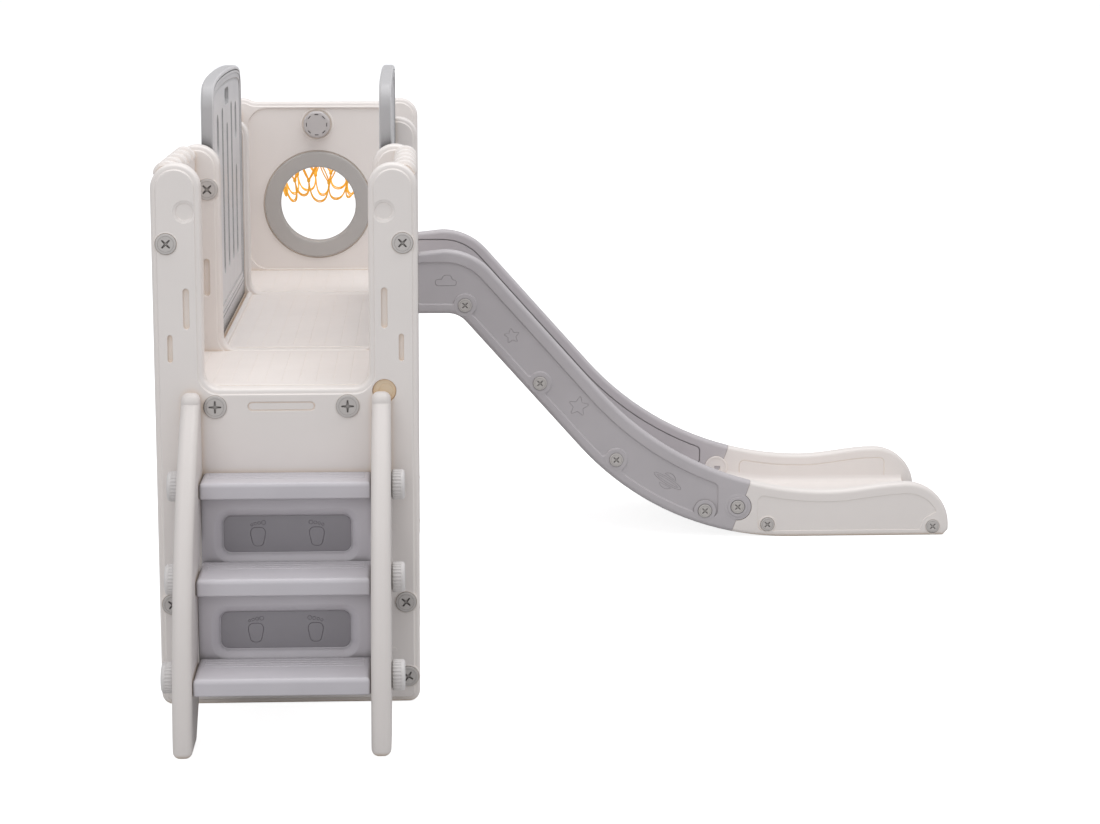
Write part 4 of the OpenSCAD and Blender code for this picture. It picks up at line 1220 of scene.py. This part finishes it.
def upper_rail(place, y0, y1):
    """Reliefs, bosses and cutter of a grey rail, with the round end at the joint."""
    sunk = [(-2.2, 0), (-1.4, 0.25), (-0.5, 1.1), (0.2, 2.4), (0.9, 3.1), (2.2, 3.4)]
    field = field_between(drop=27, lift=21, x0=half_w - 6, x1=boss_x - 44, radius=14,
                          spots=slide_screw_spots[:3], r=25)
    inner = field_between(drop=22, lift=60, x0=half_w - 6, x1=boss_x - 40, radius=10)
    ring = Relief(disc(boss_x, boss_z, 22), step(-1.2, 0.5),
                  [Relief(disc(boss_x, boss_z, 16), step(1.6, 0.6))])
    bosses = [collar(place, x, z, 24.5, slide_seat, 0.3) for x, z in slide_screw_spots]
    side = [(0, rail_t - 7), (0, 1.6), (0.4, 0.3), (1.4, -0.4)]
    bosses.append(stud(place, disc(boss_x, boss_z, boss_r), side, [ring]))
    tower = prism(rounded(rect(half_w - 200, 0, half_w, panel_h, 0)), y0, y1)
    return [Relief(field, sunk, rail_motifs())], [groove(inner, 3, 2.6)], bosses, tower


def slide_rail(node, front, after, near):
    """Rail before or after the joint; its outer face is its front where it is the near one."""
    faces = [facing("front", front), facing("back", front + rail_t)]
    place, inner_place = faces if near else faces[::-1]
    y0 = front - 5
    y1 = front + rail_t + 5
    if after:
        reliefs, inner, bosses, cutter = lower_rail(place, inner_place, y0, y1, near)
    else:
        reliefs, inner, bosses, cutter = upper_rail(place, y0, y1)
    finish = white if after else slide_grey
    shell = plate(place, rail_corners(), quarter(9, 5), rail_t, reliefs, inner)
    rail = piece(node + "_shell", [shell], node, finish)
    carve(rail, [beyond_joint(y0, y1, joint_gap, after), cutter])
    piece(node + "_bosses", bosses, None, finish)


slide_rail("slide_rail_near", rail_low.y, after=False, near=True)
slide_rail("slide_rail_far", far_low.y, after=False, near=False)
slide_rail("slide_end_rail_near", rail_low.y, after=True, near=True)
slide_rail("slide_end_rail_far", far_low.y, after=True, near=False)

# Sliding bed: a shallow channel between the rails
bed_below = 62
bed_t = 26
bed_end_z = 40
bed_flare_r = flare_r - 30
bed_p = below_slope(slope_p, bed_below)
bed_front = rail_high.y
bed_back = far_low.y
bed_w = bed_back - bed_front
edge_r = 14
edge_rows = [(0, edge_r), (1.2, edge_r * 0.62), (4, edge_r * 0.3), (8.2, edge_r * 0.09), (edge_r, 0)]
bed_rows = [(bed_front + a, lift) for a, lift in edge_rows]
bed_rows += [(bed_front + bed_w * k / 8, 0) for k in range(1, 8)]
bed_rows += [(bed_back - a, lift) for a, lift in reversed(edge_rows)]


def bed_line():
    """Points of the sliding surface, from the tower to the run-out."""
    crest = tangent(bed_p, deck_z + 2, crest_r - bed_below / 2, 12)
    arcs = crest + tangent(bed_p, bed_end_z, -bed_flare_r, 24)
    end_x = arcs[-1][0]
    return [(half_w - 29, deck_z + 8), (half_w + 8, deck_z + 8), (half_w + 20, deck_z + 5),
            *[(x, z) for x, z, _ in arcs],
            *[(end_x + (slide_end_x - 30 - end_x) * k / 6, bed_end_z) for k in range(1, 7)]]


def bed_shell(after):
    """Bed of the upper slide length, or of the one after the joint."""
    line = bed_line()
    gap = joint_gap if after else -joint_gap
    cut = next(i for i, (x, z) in enumerate(line) if side_of_joint(x, z) > gap)
    (ax, az), (bx, bz) = line[cut - 1], line[cut]
    reach = (gap - side_of_joint(ax, az)) / (side_of_joint(bx, bz) - side_of_joint(ax, az))
    line.insert(cut, (ax + (bx - ax) * reach, az + (bz - az) * reach))
    sections = []
    for i in range(cut, len(line)) if after else range(cut + 1):
        x, z = line[i]
        ax, az = line[max(i - 1, 0)]
        bx, bz = line[min(i + 1, len(line) - 1)]
        along = Vector((bx - ax, bz - az)).normalized()
        up = Vector((-along.y, along.x))
        thick = 6 if x < half_w else bed_t
        top = [(x + up.x * lift, y, z + up.y * lift) for y, lift in bed_rows]
        sections.append(top + [(x - up.x * thick, y, z - up.y * thick) for y in (bed_back, bed_front)])
    return loft(as_drawn, sections)


piece("slide_bed_channel", [bed_shell(False)], "slide_bed", slide_grey)
piece("slide_end_bed_channel", [bed_shell(True)], "slide_end_bed", white)

# Screw heads; both panels of the slide tower have none at the top right, where its side is open
heads = []
for s in (-1, 1):
    for i, (x, z) in enumerate(wall_screw_spots):
        heads.append(screw_head(front_face, s * x, z, wall_head, 45 + 6 * i))
        places = [rear_back]
        if s < 0 or i > 0:
            places += [slide_front, window_back]
        heads += [screw_head(place, s * x, z, wall_head, 45) for place in places]
piece("wall_screw_heads", heads, "wall_screws", screw_grey)
heads = [screw_head(front_face, x, z, deck_head, 0) for x, z in deck_spots]
piece("deck_screw_heads", heads, "deck_screws", screw_grey)
heads = [screw_head(place, x, z, deck_head, 45)
         for x, z in fence_spots for place in (rear_front, slide_back)]
piece("fence_screw_heads", heads, "fence_screws", screw_grey)
rail_faces = [facing("front", rail_low.y), facing("back", far_high.y)]
for node, spots in (("slide_screws", [*slide_screw_spots, (boss_x, boss_z)]),
                    ("slide_end_screws", end_screw_spots)):
    heads = [screw_head(place, x, z, slide_head, 45, 2.2) for place in rail_faces for x, z in spots]
    piece(node + "_heads", heads, node, screw_grey)

# Ball hoop behind the window wall
rim_low, rim_high = span("hoop_rim")
rim_r = 9
rim_z = 846
hoop_r = (rim_high.x - rim_low.x) / 2 - rim_r
hoop_x = (rim_low.x + rim_high.x) / 2
hoop_y = rim_high.y - rim_r - hoop_r
plate_w = 96
plate_t = 12
plate_low = rim_z - 2 * rim_r
plate_high = rim_high.z
plate_corners = rect(hoop_x - plate_w / 2, plate_low, hoop_x + plate_w / 2, plate_high, 16)
plate_field = Relief(rect(hoop_x - 36, plate_low + 22, hoop_x + 36, plate_high - 10, 10), step(1.6, 0.7))
hoop_shells = [plate(facing("back", back_y + plate_t), plate_corners, quarter(3), plate_t, [plate_field])]
rim_ring = [(hoop_r + rim_r * math.cos(t), rim_r * math.sin(t)) for t in full_turn(16)]
rim_sections = [[(hoop_x + r * math.cos(a), hoop_y + r * math.sin(a), rim_z + z) for r, z in rim_ring]
                for a in full_turn(96)]
hoop_shells.append(loft(as_drawn, rim_sections, closed=True))
arm_x = 30
arm_end = hoop_y - math.sqrt(hoop_r ** 2 - arm_x ** 2)
for x in (hoop_x - arm_x, hoop_x + arm_x):
    arm = rounded(rect(x - 6, rim_z - rim_r, x + 6, rim_z + rim_r, 3))
    hoop_shells.append(prism(arm, back_y + plate_t - 2, arm_end))
piece("hoop_rim_ring", hoop_shells, "hoop_rim", hoop_orange)

# Net: pairs of cords in rows of V, tied by knots, and a last row of loops
LOOPS = 14
CORD_R = 1.6
KNOT_R = 4.6
LOOP_HANG = 43
NET_H = 146
net_top = rim_z - rim_r
# Rows of knots: how far they are shifted, in loops, and their height
KNOT_ROWS = ((0.0, net_top + 2), (0.5, 792), (0.0, 743))


def on_net(angle, z, bulge=0.0):
    """Point of the net at an angle and a height; the net narrows downwards."""
    t = (net_top - z) / NET_H
    r = hoop_r - 30 * t + 6 * math.sin(math.pi * min(max(t, 0), 1)) + bulge
    return Vector((hoop_x + r * math.cos(angle), hoop_y + r * math.sin(angle), z))


def net_knot(k, row):
    """Angle and height of a knot; the net hangs a little unevenly."""
    shift, z = KNOT_ROWS[row]
    sway = 0 if row == 0 else 1
    angle = (k + shift + 0.09 * sway * math.sin(2.1 * k + row)) * 2 * math.pi / LOOPS
    return angle, z + 3.5 * sway * math.sin(1.7 * k + 2 * row)


def net_cord(start, end, side, sag):
    """One cord of a pair between two knots."""
    path = []
    for i in range(8):
        t = i / 7
        bow = math.sin(math.pi * t)
        a = start[0] + (end[0] - start[0]) * t + side * (0.7 + sag * bow) / hoop_r
        path.append(on_net(a, start[1] + (end[1] - start[1]) * t - 2.5 * bow, 0.8 * side))
    return tube(path, CORD_R)


def net_loop(start, end, side, hang):
    """One cord of a loop that hangs between two of the lowest knots."""
    path = []
    for i in range(15):
        t = i / 14
        a = start[0] + (end[0] - start[0]) * (t - 0.11 * math.sin(2 * math.pi * t))
        z = start[1] + (end[1] - start[1]) * t - (hang + side * 1.8) * math.sin(math.pi * t) ** 0.62
        path.append(on_net(a, z, 0.8 * side * math.sin(2 * math.pi * t)))
    return tube(path, CORD_R)


def knot_shell(middle, r):
    """Small rounded knot, longer upwards, with a waist."""
    sections = []
    for w in (-1, -0.86, -0.5, -0.15, 0.15, 0.5, 0.86, 1):
        size = r * math.sqrt(max(1 - w * w, 0.06)) * (0.9 if abs(w) < 0.2 else 1.0)
        sections.append(arc(middle.x, middle.y, size, size, full_turn(10), middle.z + w * r * 1.25))
    return loft(as_drawn, sections)


net_shells = []
for k in range(LOOPS):
    for row in (0, 1):
        for s in (-1, 1):
            end = net_knot(k + (s + 1) // 2 - (1 if row == 0 else 0), row + 1)
            sag = 2.2 + 0.9 * math.sin(3.1 * k + s)
            net_shells += [net_cord(net_knot(k, row), end, side, sag) for side in (-1, 1)]
    hang = LOOP_HANG + 7 * math.sin(2.6 * k)
    net_shells += [net_loop(net_knot(k, 2), net_knot(k + 1, 2), side, hang) for side in (-1, 1)]
    net_shells += [knot_shell(on_net(*net_knot(k, row)), KNOT_R) for row in (1, 2)]
piece("hoop_net_cords", net_shells, "hoop_net", cord_orange, sharp=80)

# Nodes that keep their own shape
for name in ("hoop_stud", "tie_rods"):
    for made in [o for o in bpy.data.objects if o.name == name or o.get("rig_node") == name]:
        if made.type == "MESH":
            made.data.materials.clear()
            made.data.materials.append(screw_grey[1])

# Floor and sky: lit plainly, and brighter where the camera sees them
FLOOR_HALF = 20
FLOOR_GLOW = 0.85
SKY_LIGHT = 0.585
SKY_SEEN = 1.06
floor_mesh = bpy.data.meshes.new("floor")
floor_corners = [(x * FLOOR_HALF, y * FLOOR_HALF, 0) for x, y in ((-1, -1), (1, -1), (1, 1), (-1, 1))]
floor_mesh.from_pydata(floor_corners, [], [(0, 1, 2, 3)])
floor = placed("floor", floor_mesh)
floor_coat = bpy.data.materials.new("floor_white")
floor_coat.use_nodes = True
tree = floor_coat.node_tree
shader = tree.nodes["Principled BSDF"].inputs
shader["Base Color"].default_value = (0.55, 0.55, 0.55, 1)
shader["Roughness"].default_value = 0.9
shader["Emission Color"].default_value = (1, 1, 1, 1)
seen = shader_node(tree, "LightPath", {}, "Is Camera Ray")
tree.links.new(ramp(tree, seen, 0, 1, 0, FLOOR_GLOW), shader["Emission Strength"])
floor_mesh.materials.append(floor_coat)

world = bpy.data.worlds.new("studio")
world.use_nodes = True
tree = world.node_tree
sky = tree.nodes["Background"].inputs
sky["Color"].default_value = (0.965, 0.975, 1, 1)
seen = shader_node(tree, "LightPath", {}, "Is Camera Ray")
tree.links.new(ramp(tree, seen, 0, 1, SKY_LIGHT, SKY_SEEN), sky["Strength"])
bpy.context.scene.world = world


def soft_light(name, place, aim, size, power):
    """Square light of a size in metres, turned towards a point."""
    data = bpy.data.lights.new(name, "AREA")
    data.shape = "SQUARE"
    data.size = size
    data.energy = power
    lamp = placed(name, data)
    lamp.location = place
    lamp.rotation_euler = (Vector(aim) - Vector(place)).to_track_quat("-Z", "Y").to_euler()


middle = (cad_low + cad_high) / 2
soft_light("top", (0.2, -0.3, 4.2), middle, size=4.0, power=105)
soft_light("key", (-1.6, -4.0, 2.2), middle, size=2.4, power=24)

# Camera in front of the ladder, above the tops of the fences, looking slightly down
CAMERA_SPOT = (223.6, -3533.4, 1261.7)
CAMERA_TILT = -0.1523
CAMERA_TURN = -0.0379
CAMERA_LENS = 70.38
CAMERA_SHIFT = (0.0449, -0.1141)
camera_data = bpy.data.cameras.new("camera")
camera_data.lens = CAMERA_LENS
camera_data.sensor_width = 36
camera_data.sensor_fit = "HORIZONTAL"
camera_data.shift_x, camera_data.shift_y = CAMERA_SHIFT
camera_data.clip_end = 100
camera = placed("camera", camera_data)
camera.location = TO_ROW @ Vector(CAMERA_SPOT)
camera.rotation_euler = (math.pi / 2 + CAMERA_TILT, 0, CAMERA_TURN)
bpy.context.scene.camera = camera
bpy.context.scene.view_settings.view_transform = "Standard"
